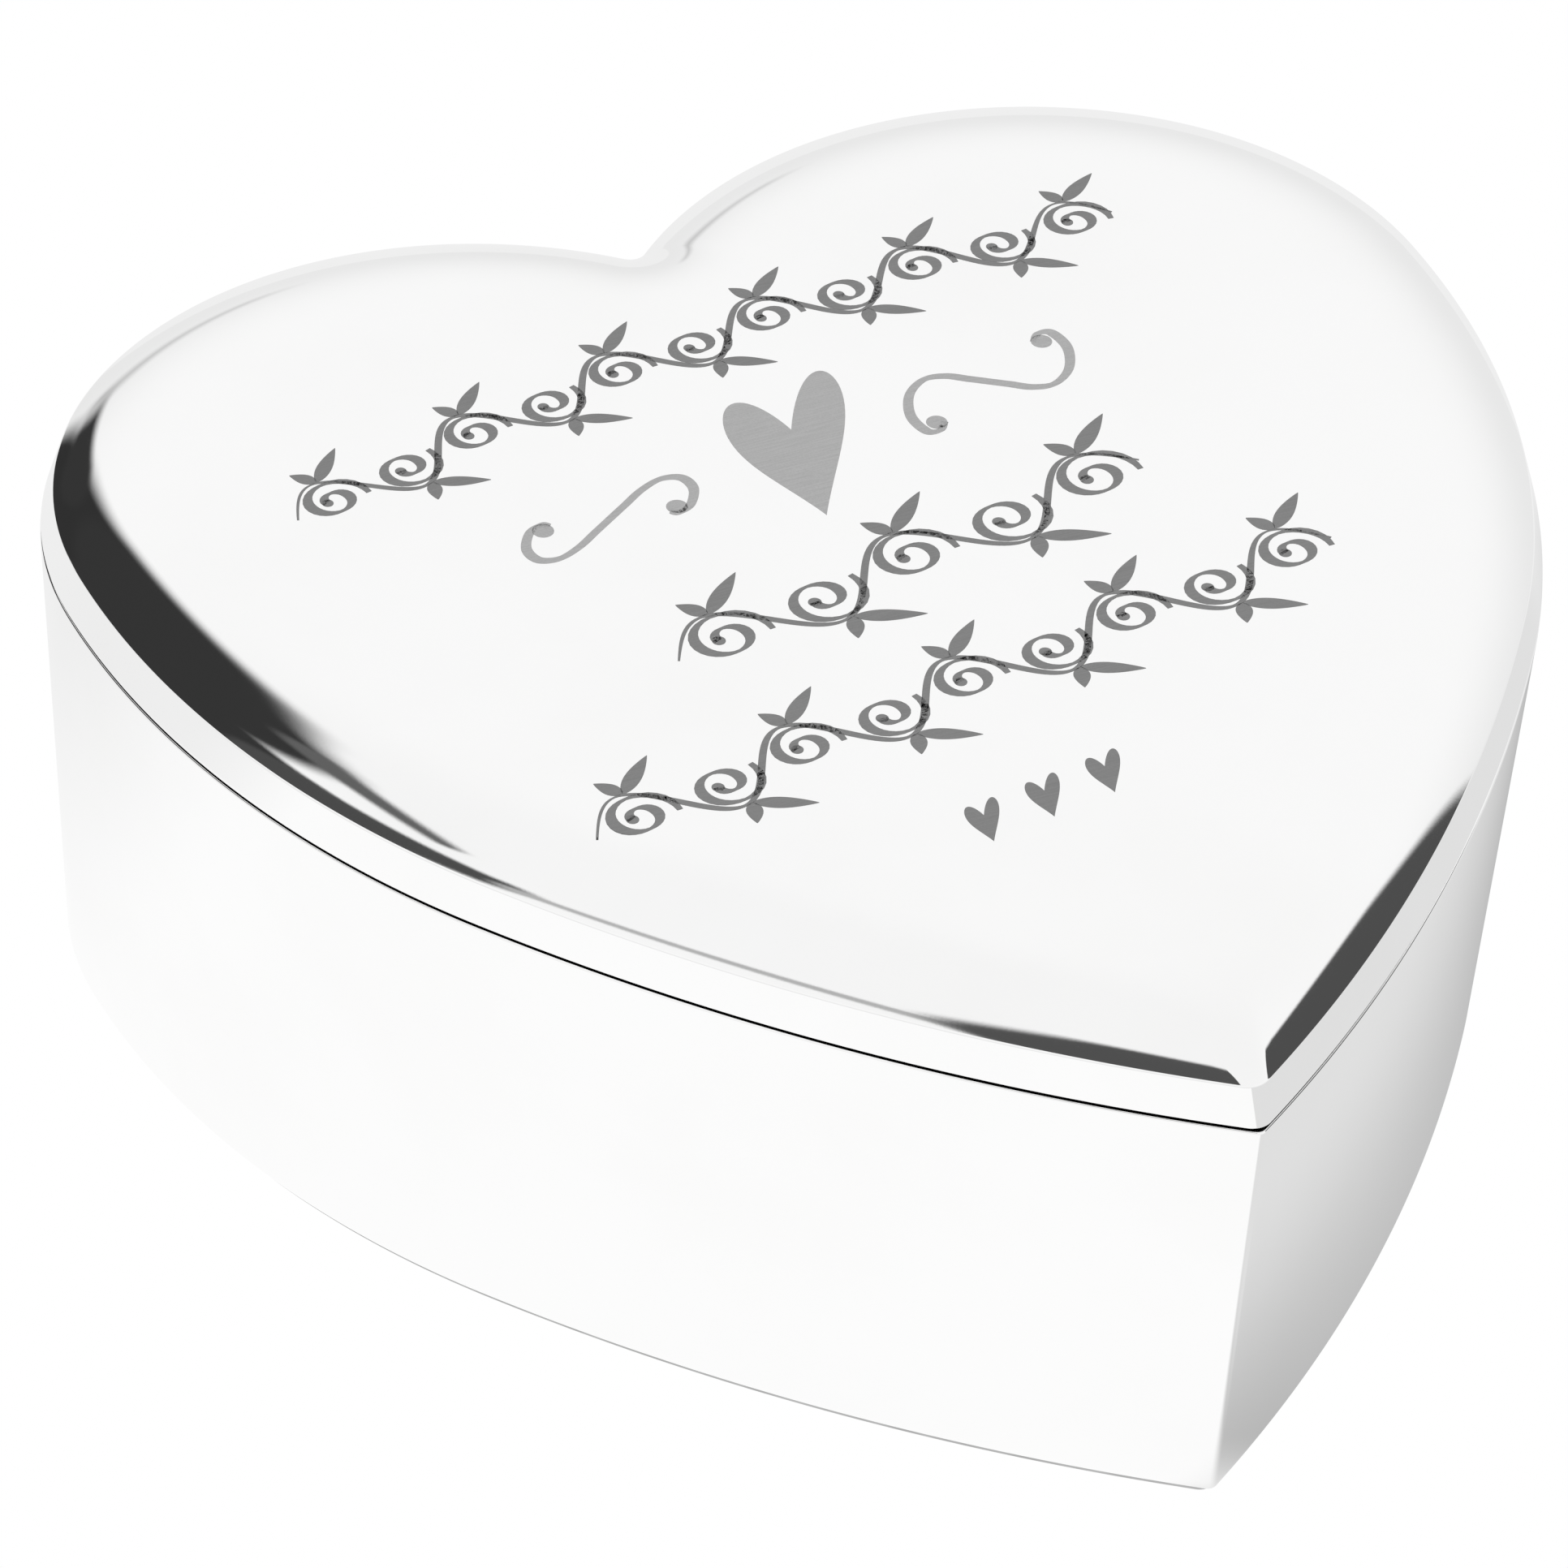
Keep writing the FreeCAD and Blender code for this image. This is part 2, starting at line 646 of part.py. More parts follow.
parts = make_parts()
doc.recompute()
check(parts)
os.makedirs("parts", exist_ok=True)
for part in parts:
    part.Shape.exportStep(f"parts/{part.Label}.step")
    box = part.Shape.BoundBox
    print(f"{part.Label}: {box.XLength:.2f} x {box.YLength:.2f} x {box.ZLength:.2f}")
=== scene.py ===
import math

import bmesh
import bpy
import numpy as np
from mathutils import Matrix, Vector


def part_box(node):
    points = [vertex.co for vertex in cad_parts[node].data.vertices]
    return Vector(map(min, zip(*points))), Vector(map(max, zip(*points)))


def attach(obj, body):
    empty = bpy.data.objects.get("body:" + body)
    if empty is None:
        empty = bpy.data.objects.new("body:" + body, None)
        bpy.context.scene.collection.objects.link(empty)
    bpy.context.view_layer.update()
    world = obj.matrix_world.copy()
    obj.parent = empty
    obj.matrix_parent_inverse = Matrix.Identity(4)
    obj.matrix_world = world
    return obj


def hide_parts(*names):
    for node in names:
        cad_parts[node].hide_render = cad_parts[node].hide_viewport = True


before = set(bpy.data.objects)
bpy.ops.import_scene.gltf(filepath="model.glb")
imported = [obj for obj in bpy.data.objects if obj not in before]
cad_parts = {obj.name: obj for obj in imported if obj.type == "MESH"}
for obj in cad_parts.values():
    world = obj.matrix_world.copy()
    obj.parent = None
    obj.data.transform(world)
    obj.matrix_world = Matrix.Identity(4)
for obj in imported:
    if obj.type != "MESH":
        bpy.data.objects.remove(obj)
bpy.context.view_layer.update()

MM = 0.001

# --- Sizes, in millimetres as in the CAD model -------------------------------------------------

SIDE_RADIUS, HAUNCH_RADIUS, LOBE_RADIUS, CROWN_RADIUS = 133.7, 59.1, 24.5, 27.7
SIDE_CENTRE = (-75.9, 60.82)
HAUNCH_X, LOBE_X, CROWN_X = -14.1, 20.45, 18.5
CLEFT_RADIUS = 0.4
BASE_TIP, INNER_TIP = 0.5, 0.9
LID_TIP, LID_TIP_GROWTH = 1.3, 0.7
LEAN, WALL = 2.7, 1.2
FOOT_ROUND, RIM_ROUND = 1.0, 0.16
FELT_MARGIN, FELT_GAP = 3.0, 0.15
BAND, BAND_LEAN, SHOULDER_WIDTH = 2.6, 0.66, 8.0
LID_SKIN = 0.9
DOME_RADIUS = 1000.0
KNUCKLE_PITCH, NOTCH_HALF, NOTCH_DEPTH, LID_NOTCH_DEPTH = 3.0, 1.25, 1.05, 0.65
LEAF_WINDOW = 4.7
LINING_OUTSIDE, LINING_INSIDE, LINING_SADDLE = 2.13, 2.73, 29.2
LINING_PERIMETER_INSET = 4.0
PAD_MARGIN, LID_PAD_INSET = 0.25, 5.0
MIDDLE = np.array((0.0, -1.5))


def levels(node):
    """Lowest and highest z of a CAD node, in millimetres."""
    low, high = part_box(node)
    return low[2] / MM, high[2] / MM


FOOT, RIM = levels("base_shell")
LID_EDGE, LID_TOP = levels("lid_shell")
CREASE = LID_EDGE + BAND
FELT_TOP = levels("base_felt")[1]
FLOOR_TOP = levels("floor_board")[0] - 0.05
WALL_SLOPE = LEAN / (RIM - FOOT)
BAND_SLOPE = BAND_LEAN / BAND

# --- The heart outline -------------------------------------------------------------------------


def beside(centre, reach, x, side):
    """The point at a given x on a circle about centre; side is 1 above it and -1 below."""
    return (x, centre[1] + side * math.sqrt(reach**2 - (x - centre[0]) ** 2))


HAUNCH_CENTRE = beside(SIDE_CENTRE, SIDE_RADIUS - HAUNCH_RADIUS, HAUNCH_X, -1)
LOBE_CENTRE = beside(HAUNCH_CENTRE, HAUNCH_RADIUS - LOBE_RADIUS, LOBE_X, 1)
CROWN_CENTRE = beside(LOBE_CENTRE, CROWN_RADIUS - LOBE_RADIUS, CROWN_X, -1)
CLEFT_CENTRE = beside(CROWN_CENTRE, CROWN_RADIUS + CLEFT_RADIUS, 0.0, 1)

# Columns over a hinge, as distances from its middle. Where a notch starts, the column is doubled.
NOTCH_EDGES = [
    NOTCH_HALF,
    KNUCKLE_PITCH - NOTCH_HALF,
    KNUCKLE_PITCH + NOTCH_HALF,
    LEAF_WINDOW,
]
HINGE_COLUMNS = np.array(
    sorted(
        [*np.linspace(-LEAF_WINDOW, LEAF_WINDOW, 24)[1:-1]]
        + [sign * edge for sign in (-1, 1) for edge in NOTCH_EDGES] * 2
    )
)
TIP_STEPS, SIDE_STEPS, HAUNCH_STEPS, LOBE_STEPS = 14, 56, 48, 32
OUTER_CROWN_STEPS, INNER_CROWN_STEPS, CLEFT_STEPS = 18, 30, 12
AHEAD = TIP_STEPS + SIDE_STEPS + HAUNCH_STEPS + LOBE_STEPS


def heading(origin, target):
    return math.atan2(target[1] - origin[1], target[0] - origin[0])


def crown_angles(radius):
    """Angles along the crown; the columns over the hinge keep their x at every radius."""
    start = heading(CROWN_CENTRE, LOBE_CENTRE)
    end = heading(CROWN_CENTRE, CLEFT_CENTRE)
    over_hinge = np.arccos(-HINGE_COLUMNS / radius)
    before = np.linspace(start, over_hinge[0], OUTER_CROWN_STEPS + 1)[:-1]
    after = np.linspace(over_hinge[-1], end, INNER_CROWN_STEPS + 1)[1:]
    return np.concatenate([before, over_hinge, after])


def heart(inset, tip_radius=INNER_TIP):
    """Closed outline moved inwards by inset: up the right side from the tip, down the left."""
    reach = SIDE_RADIUS - inset - tip_radius
    tip = (0.0, SIDE_CENTRE[1] - math.sqrt(reach**2 - SIDE_CENTRE[0] ** 2))
    turns = [
        -math.pi / 2,
        heading(SIDE_CENTRE, tip),
        heading(SIDE_CENTRE, HAUNCH_CENTRE),
        heading(HAUNCH_CENTRE, LOBE_CENTRE),
        heading(CROWN_CENTRE, LOBE_CENTRE),
    ]
    arcs = (
        (tip, tip_radius, TIP_STEPS),
        (SIDE_CENTRE, SIDE_RADIUS - inset, SIDE_STEPS),
        (HAUNCH_CENTRE, HAUNCH_RADIUS - inset, HAUNCH_STEPS),
        (LOBE_CENTRE, LOBE_RADIUS - inset, LOBE_STEPS),
    )
    runs = [
        (centre, radius, np.linspace(turns[i], turns[i + 1], steps + 1)[:-1])
        for i, (centre, radius, steps) in enumerate(arcs)
    ]
    runs.append((CROWN_CENTRE, CROWN_RADIUS - inset, crown_angles(CROWN_RADIUS - inset)))
    into_cleft = np.linspace(heading(CLEFT_CENTRE, CROWN_CENTRE), -math.pi / 2, CLEFT_STEPS + 1)
    runs.append((CLEFT_CENTRE, CLEFT_RADIUS + inset, into_cleft[1:]))
    right = np.vstack([c + r * np.column_stack([np.cos(a), np.sin(a)]) for c, r, a in runs])
    right[0, 0] = right[-1, 0] = 0.0
    return np.vstack([right, right[-2:0:-1] * (-1, 1)])


RING = len(heart(0.0))


def over_hinges(low, high):
    """Which columns stand between two distances from a hinge's middle.

    Of two doubled columns at an edge, the one on the inner side is counted in."""
    reach = np.abs(HINGE_COLUMNS)
    inside = (reach > low + 1e-6) & (reach < high - 1e-6)
    for i in range(len(reach) - 1):
        if abs(HINGE_COLUMNS[i] - HINGE_COLUMNS[i + 1]) < 1e-9:
            inside[i] = inside[i - 1] if i else False
            inside[i + 1] = inside[i + 2] if i + 2 < len(reach) else False
    right = np.zeros(RING // 2 + 1, bool)
    start = AHEAD + OUTER_CROWN_STEPS
    right[start : start + len(inside)] = inside
    return np.concatenate([right, right[-2:0:-1]])


BASE_NOTCHES = over_hinges(KNUCKLE_PITCH - NOTCH_HALF, KNUCKLE_PITCH + NOTCH_HALF)
LID_NOTCHES = over_hinges(-1.0, NOTCH_HALF)
LINING_SADDLES = over_hinges(-1.0, LEAF_WINDOW)

# --- Meshes ------------------------------------------------------------------------------------


def solid(name, vertices, faces, sharp=35.0):
    """A smooth closed mesh from points in millimetres, with doubled points merged."""
    mesh = bpy.data.meshes.new(name)
    mesh.from_pydata((np.asarray(vertices) * MM).tolist(), [], faces)
    work = bmesh.new()
    work.from_mesh(mesh)
    bmesh.ops.remove_doubles(work, verts=work.verts, dist=1e-6)
    bmesh.ops.dissolve_degenerate(work, edges=work.edges, dist=1e-7)
    bmesh.ops.recalc_face_normals(work, faces=work.faces)
    for face in work.faces:
        face.smooth = True
    for edge in work.edges:
        edge.smooth = len(edge.link_faces) != 2 or edge.calc_face_angle() < math.radians(sharp)
    work.to_mesh(mesh)
    work.free()
    piece = bpy.data.objects.new(name, mesh)
    bpy.context.scene.collection.objects.link(piece)
    return piece


def skin(name, rows, ends="closed", sharp=35.0):
    """A solid through rings of points; its ends are closed, or joined to each other."""
    count = len(rows[0])
    vertices = list(np.vstack(rows))
    faces = []
    for row in range(len(rows) - 1 if ends == "closed" else len(rows)):
        low, high = row * count, (row + 1) % len(rows) * count
        for i in range(count):
            j = (i + 1) % count
            faces.append((low + i, low + j, high + j, high + i))
    if ends == "closed":
        for row in (0, len(rows) - 1):
            ring = range(row * count, (row + 1) * count)
            faces += [(ring[i], ring[i - 1], len(vertices)) for i in range(count)]
            vertices.append(rows[row].mean(axis=0))
    return solid(name, vertices, faces, sharp)


def level(plan, z):
    return np.column_stack([plan, np.broadcast_to(z, len(plan))])


def drawn_in(ring, share, surface):
    """A ring drawn in towards the middle of the heart and laid on a surface."""
    plan = MIDDLE + share * (ring[:, :2] - MIDDLE)
    return level(plan, surface(plan))


def flat(z):
    return lambda plan: z


def quarter(steps):
    return np.linspace(0, math.pi / 2, steps + 1)


def clipped_ring(z, cut, limit, outline):
    """A ring at height z whose cut columns are held at the limit instead."""
    heights = np.where(cut, limit, z)
    plans = {value: outline(value) for value in (z, limit)}
    plan = np.where(cut[:, None], plans[limit], plans[z])
    return level(plan, heights)


# --- Silver shells -----------------------------------------------------------------------------


def wall_ring(depth, z, tip=INNER_TIP):
    """A ring this deep inside the base wall's sloping face, cut down at the hinge notches."""

    def outline(height):
        return heart((RIM - height) * WALL_SLOPE + depth, tip)

    saddle = RIM - NOTCH_DEPTH
    if z <= saddle:
        return level(outline(z), z)
    return clipped_ring(z, BASE_NOTCHES, saddle, outline)


def make_base_shell():
    recess = FELT_TOP + 0.05
    roof = wall_ring(FELT_MARGIN, recess)
    rows = [drawn_in(roof, share, flat(recess)) for share in (0.02, 0.3, 0.6, 0.85, 0.97)]
    rows += [roof, wall_ring(FELT_MARGIN, FOOT + 0.08), wall_ring(FELT_MARGIN - 0.08, FOOT)]
    rows.append(wall_ring(FELT_MARGIN - 0.3, FOOT))
    rows.append(wall_ring(FOOT_ROUND + 0.2, FOOT, BASE_TIP))
    for turn in quarter(10):
        inwards, upwards = 1 - math.sin(turn), 1 - math.cos(turn)
        rows.append(wall_ring(FOOT_ROUND * inwards, FOOT + FOOT_ROUND * upwards, BASE_TIP))
    side = np.linspace(FOOT + FOOT_ROUND + 0.2, RIM - RIM_ROUND - 0.1, 16)
    rows += [wall_ring(0.0, z, BASE_TIP) for z in side]
    for turn in quarter(5):
        inwards, upwards = 1 - math.cos(turn), math.sin(turn) - 1
        rows.append(wall_ring(RIM_ROUND * inwards, RIM + RIM_ROUND * upwards, BASE_TIP))
    rows.append(wall_ring(RIM_ROUND + 0.05, RIM, BASE_TIP))
    rows.append(wall_ring(WALL - RIM_ROUND - 0.05, RIM))
    for turn in quarter(4):
        inwards, upwards = 1 - math.sin(turn), math.cos(turn) - 1
        rows.append(wall_ring(WALL - RIM_ROUND * inwards, RIM + RIM_ROUND * upwards))
    rows += [wall_ring(WALL, z) for z in np.linspace(RIM - RIM_ROUND - 0.1, FLOOR_TOP + 0.2, 8)]
    foot_of_wall = wall_ring(WALL, FLOOR_TOP)
    floor = drawn_in(foot_of_wall, 0.99, flat(FLOOR_TOP))
    rows += [foot_of_wall, floor]
    rows += [drawn_in(floor, share, flat(FLOOR_TOP)) for share in (0.85, 0.6, 0.3, 0.02)]
    return skin("silver_base", rows)


def lid_outline(inset):
    return heart(inset, LID_TIP + LID_TIP_GROWTH * inset)


def dome(plan):
    """Height of the lid's low dome over points of the plan."""
    return LID_TOP - ((plan - MIDDLE) ** 2).sum(axis=1) / (2 * DOME_RADIUS)


CREASE_DROP = dome(lid_outline(BAND_LEAN)) - CREASE


def shoulder_ring(step, inset=0.0, drop=0.0):
    """A ring of the lid's shoulder, from the crease at step 0 to the dome at step 1."""
    plan = lid_outline(BAND_LEAN + step * SHOULDER_WIDTH + inset)
    top = dome(lid_outline(BAND_LEAN + step * SHOULDER_WIDTH))
    return level(plan, top - CREASE_DROP * (1 - step) ** 3 - drop)


def band_ring(depth, z):
    """A ring this deep inside the lid's band, cut up at the hinge notches."""

    def outline(height):
        return lid_outline((height - LID_EDGE) * BAND_SLOPE + depth)

    saddle = LID_EDGE + LID_NOTCH_DEPTH
    if z >= saddle:
        return level(outline(z), z)
    return clipped_ring(z, LID_NOTCHES, saddle, outline)


def ceiling(plan):
    """Height of the lid's inside under its dome."""
    return dome(plan) - LID_SKIN


def make_lid_shell():
    shoulder = 1 - np.linspace(0, 1, 34) ** 0.62 * 0.99
    brim = shoulder_ring(1.0)
    rows = [drawn_in(brim, share, dome) for share in np.linspace(0.02, 0.98, 26)]
    rows += [shoulder_ring(step) for step in shoulder]
    rows += [shoulder_ring(0.004), band_ring(0.0, CREASE - 0.03), band_ring(0.0, CREASE - 0.09)]
    rows += [band_ring(0.0, z) for z in np.linspace(CREASE - 0.3, LID_EDGE + RIM_ROUND + 0.1, 8)]
    for turn in quarter(5):
        inwards, upwards = 1 - math.cos(turn), 1 - math.sin(turn)
        rows.append(band_ring(RIM_ROUND * inwards, LID_EDGE + RIM_ROUND * upwards))
    rows.append(band_ring(RIM_ROUND + 0.05, LID_EDGE))
    rows.append(band_ring(WALL - RIM_ROUND - 0.05, LID_EDGE))
    for turn in quarter(4):
        inwards, upwards = 1 - math.sin(turn), 1 - math.cos(turn)
        rows.append(band_ring(WALL - RIM_ROUND * inwards, LID_EDGE + RIM_ROUND * upwards))
    rows += [band_ring(WALL, z) for z in np.linspace(LID_EDGE + RIM_ROUND + 0.1, CREASE - 0.9, 5)]
    rows += [shoulder_ring(step, 0.3, LID_SKIN) for step in np.linspace(0.12, 1.0, 12)]
    brim = rows[-1]
    rows += [drawn_in(brim, share, ceiling) for share in (0.95, 0.85, 0.6, 0.3, 0.02)]
    return skin("silver_lid", rows)


# --- Felt, velvet and pads ---------------------------------------------------------------------


def ripple(count, waves, seed):
    """A smooth random wave round a ring, between about -1 and 1."""
    random = np.random.default_rng(seed)
    turn = np.linspace(0, 2 * math.pi, count, endpoint=False)
    total = np.zeros(count)
    for wave in range(3, waves):
        total += random.normal() * np.cos(wave * turn + random.uniform(0, 2 * math.pi))
    return total / np.abs(total).max()


def make_base_felt():
    """A die-cut felt sheet; its cut edge is slightly uneven."""
    rough = 0.05 * ripple(RING, 160, 11)[:, None]

    def cut(inset, z):
        ring = wall_ring(FELT_MARGIN + FELT_GAP + inset, FOOT)
        inward = MIDDLE - ring[:, :2]
        inward /= np.linalg.norm(inward, axis=1)[:, None]
        return level(ring[:, :2] + inward * np.abs(rough), z)

    low, top = 0.0, FELT_TOP
    edge = [(0.6, low), (0.2, low), (0.06, low + 0.05), (0.0, low + 0.15), (0.0, top - 0.15)]
    edge += [(0.06, top - 0.05), (0.2, top), (0.6, top)]
    rows = [cut(inset, z) for inset, z in edge]
    first, last = rows[0], rows[-1]
    under = [drawn_in(first, share, flat(low)) for share in (0.02, 0.3, 0.6, 0.85)]
    over = [drawn_in(last, share, flat(top)) for share in (0.85, 0.6, 0.3, 0.02)]
    return skin("felt_under_base", under + rows + over, sharp=60.0)


def make_wall_lining():
    """Velvet stretched round the wall card, with a soft rolled top edge and faint puckers."""
    low, high = levels("wall_velvet")
    half = (LINING_INSIDE - LINING_OUTSIDE) / 2
    middle = (LINING_INSIDE + LINING_OUTSIDE) / 2
    pucker = 0.07 * ripple(RING, 90, 23)

    def ring(depth, z):
        def outline(height):
            return heart((RIM - min(height, RIM)) * WALL_SLOPE + depth)

        if z <= LINING_SADDLE:
            return level(outline(z), z)
        return clipped_ring(z, LINING_SADDLES, LINING_SADDLE, outline)

    def gathered(depth, z, share):
        row = ring(depth, z)
        inwards = (ring(depth + 0.1, z) - row)[:, :2] / 0.1
        row[:, :2] += inwards * (share * np.abs(pucker))[:, None]
        return row

    rows = [ring(LINING_OUTSIDE, z) for z in np.linspace(low, LINING_SADDLE - 0.1, 8)]
    rows += [ring(LINING_OUTSIDE, z) for z in np.linspace(LINING_SADDLE, high - half - 0.1, 5)]
    for turn in np.linspace(0, math.pi, 13):
        rows.append(ring(middle - half * math.cos(turn), high - half + half * math.sin(turn)))
    inner = np.linspace(high - half - 0.2, LINING_SADDLE, 5)
    rows += [gathered(LINING_INSIDE, z, 0.5 * i / len(inner)) for i, z in enumerate(inner)]
    wall = np.linspace(LINING_SADDLE - 0.3, low, 16)
    rows += [gathered(LINING_INSIDE, z, 0.5 + 0.5 * math.sin(0.2 * i)) for i, z in enumerate(wall)]
    return skin("velvet_wall_lining", rows, ends="joined", sharp=60.0)


PAD_ROUND, PAD_SWELL, PAD_HEADROOM = 3.0, 0.35, 0.3
FOAM_SIDE_GAP, FOAM_BACK_GAP, FOAM_FRONT_GAP = 1.2, 0.15, 0.6
CLOTH_SCALE = 10.0
CLOTH_VOXEL = 0.7
CLOTH_FRAMES = 20
GLUED_HEIGHT = 0.3


def pad_form(name, inset, foot, height, crown, way):
    """A padded heart before it swells; way is 1 for a pad that faces up and -1 for down."""
    back = level(heart(inset + 1.0), foot)
    rows = [drawn_in(back, share, flat(foot)) for share in (0.02, 0.35, 0.7)]
    rows += [back, level(heart(inset + 0.3), foot + way * 0.15)]
    for turn in np.linspace(0.0, math.pi / 2, 9):
        depth = PAD_ROUND * (1 - math.cos(turn))
        rise = 0.35 * height + 0.65 * height * math.sin(turn)
        rows.append(level(heart(inset + depth), foot + way * rise))
    edge = rows[-1]
    for share in (0.92, 0.84, 0.75, 0.65, 0.52, 0.38, 0.22, 0.02):
        rows.append(drawn_in(edge, share, flat(foot + way * (height + crown * (1 - share**2)))))
    return skin(name, rows, sharp=80.0)


def points_of(mesh):
    points = np.zeros(len(mesh.vertices) * 3, np.float32)
    mesh.vertices.foreach_get("co", points)
    return points.reshape(-1, 3).astype(float)


def evaluated(piece):
    return piece.evaluated_get(bpy.context.evaluated_depsgraph_get())


def swollen(form, foot, way, cap):
    """Runs the cover of a pad as cloth under inner pressure, ten times life size.

    The glued back stays put, and no point moves further than the cap, in millimetres."""
    scene = bpy.context.scene
    bpy.context.view_layer.objects.active = form
    form.data.transform(Matrix.Scale(CLOTH_SCALE, 4))
    remesh = form.modifiers.new("even mesh", "REMESH")
    remesh.mode = "VOXEL"
    remesh.voxel_size = CLOTH_VOXEL * MM * CLOTH_SCALE
    even = bpy.data.meshes.new_from_object(evaluated(form))
    form.modifiers.clear()
    form.data = even
    start = points_of(even)
    back = (start[:, 2] / (MM * CLOTH_SCALE) - foot) * way < GLUED_HEIGHT
    glued = form.vertex_groups.new(name="glued")
    glued.add(np.flatnonzero(back).tolist(), 1.0, "REPLACE")
    cloth = form.modifiers.new("cover", "CLOTH")
    cloth.settings.use_pressure = True
    cloth.settings.uniform_pressure_force = 4.0
    cloth.settings.effector_weights.gravity = 0.0
    cloth.settings.vertex_group_mass = "glued"
    cloth.settings.quality = 5
    cloth.point_cache.frame_start = 1
    cloth.point_cache.frame_end = CLOTH_FRAMES
    for step in range(1, CLOTH_FRAMES + 1):
        scene.frame_set(step)
    moved = points_of(evaluated(form).data)
    scene.frame_set(1)
    form.modifiers.clear()
    form.vertex_groups.clear()
    travel = moved - start
    length = np.linalg.norm(travel, axis=1)[:, None]
    limit = cap * MM * CLOTH_SCALE
    end = start + travel * np.minimum(1.0, limit / np.maximum(length, 1e-9))
    even.vertices.foreach_set("co", (end / CLOTH_SCALE).astype(np.float32).ravel())
    even.update()
    even.shade_smooth()
    finer = form.modifiers.new("finer", "SUBSURF")
    finer.levels = finer.render_levels = 1
    return form


def make_pad(where, inset, foot, height, crown, way):
    """The velvet cover of a pad and the foam inside it."""
    foam_foot = foot + way * FOAM_BACK_GAP
    foam_height = height - FOAM_BACK_GAP - FOAM_FRONT_GAP
    filling = (inset + FOAM_SIDE_GAP, foam_foot, foam_height, crown, way)
    foam = pad_form(f"foam_{where}_filling", *filling)
    name = f"velvet_{where}_pad"
    form = pad_form(name, inset + PAD_SWELL, foot, height, crown, way)
    return swollen(form, foot, way, PAD_SWELL), foam


def make_floor_pad():
    foot, top = levels("floor_velvet")
    inset = (RIM - FLOOR_TOP) * WALL_SLOPE + LINING_INSIDE + PAD_MARGIN + 0.05
    return make_pad("floor", inset, foot, top - foot - PAD_HEADROOM, 0.5, 1)


def make_lid_pad():
    low, high = levels("lid_velvet")
    return make_pad("lid", LID_PAD_INSET, high, high - low - PAD_HEADROOM, 0.4, -1)


# --- Engraved ornament -------------------------------------------------------------------------

ENGRAVED_HEIGHT, ENGRAVED_DEPTH = 0.012, 0.03
ALONG = np.array((math.cos(math.radians(10)), math.sin(math.radians(10))))
ACROSS = np.array((math.sin(math.radians(11)), math.cos(math.radians(11))))
PEN_ANGLE = math.radians(12)


def place(points, origin=(0.0, 0.0)):
    """Turns ornament coordinates, along and across the engraving, into points of the plan."""
    points = np.atleast_2d(points)
    return np.array(origin) + points[:, :1] * ALONG + points[:, 1:] * ACROSS


def smooth_line(points, steps=12):
    """A Catmull-Rom curve through a few points."""
    points = np.array(points, float)
    ends = [2 * points[0] - points[1], *points, 2 * points[-1] - points[-2]]
    line = []
    for a, b, c, d in zip(ends, ends[1:], ends[2:], ends[3:]):
        for t in np.arange(steps) / steps:
            cubic = (-a + 3 * b - 3 * c + d) * t**3 + (2 * a - 5 * b + 4 * c - d) * t**2
            line.append((cubic + (c - a) * t + 2 * b) / 2)
    return np.array([*line, points[-1]])


def spiral(centre, start, turn, outer, inner, steps=44):
    """Points that wind from the outer radius to the inner one; turn is in radians, with sign."""
    share = np.linspace(0, 1, steps)
    radius = outer + (inner - outer) * share**0.85
    angle = start + turn * share
    return np.array(centre) + radius[:, None] * np.column_stack([np.cos(angle), np.sin(angle)])


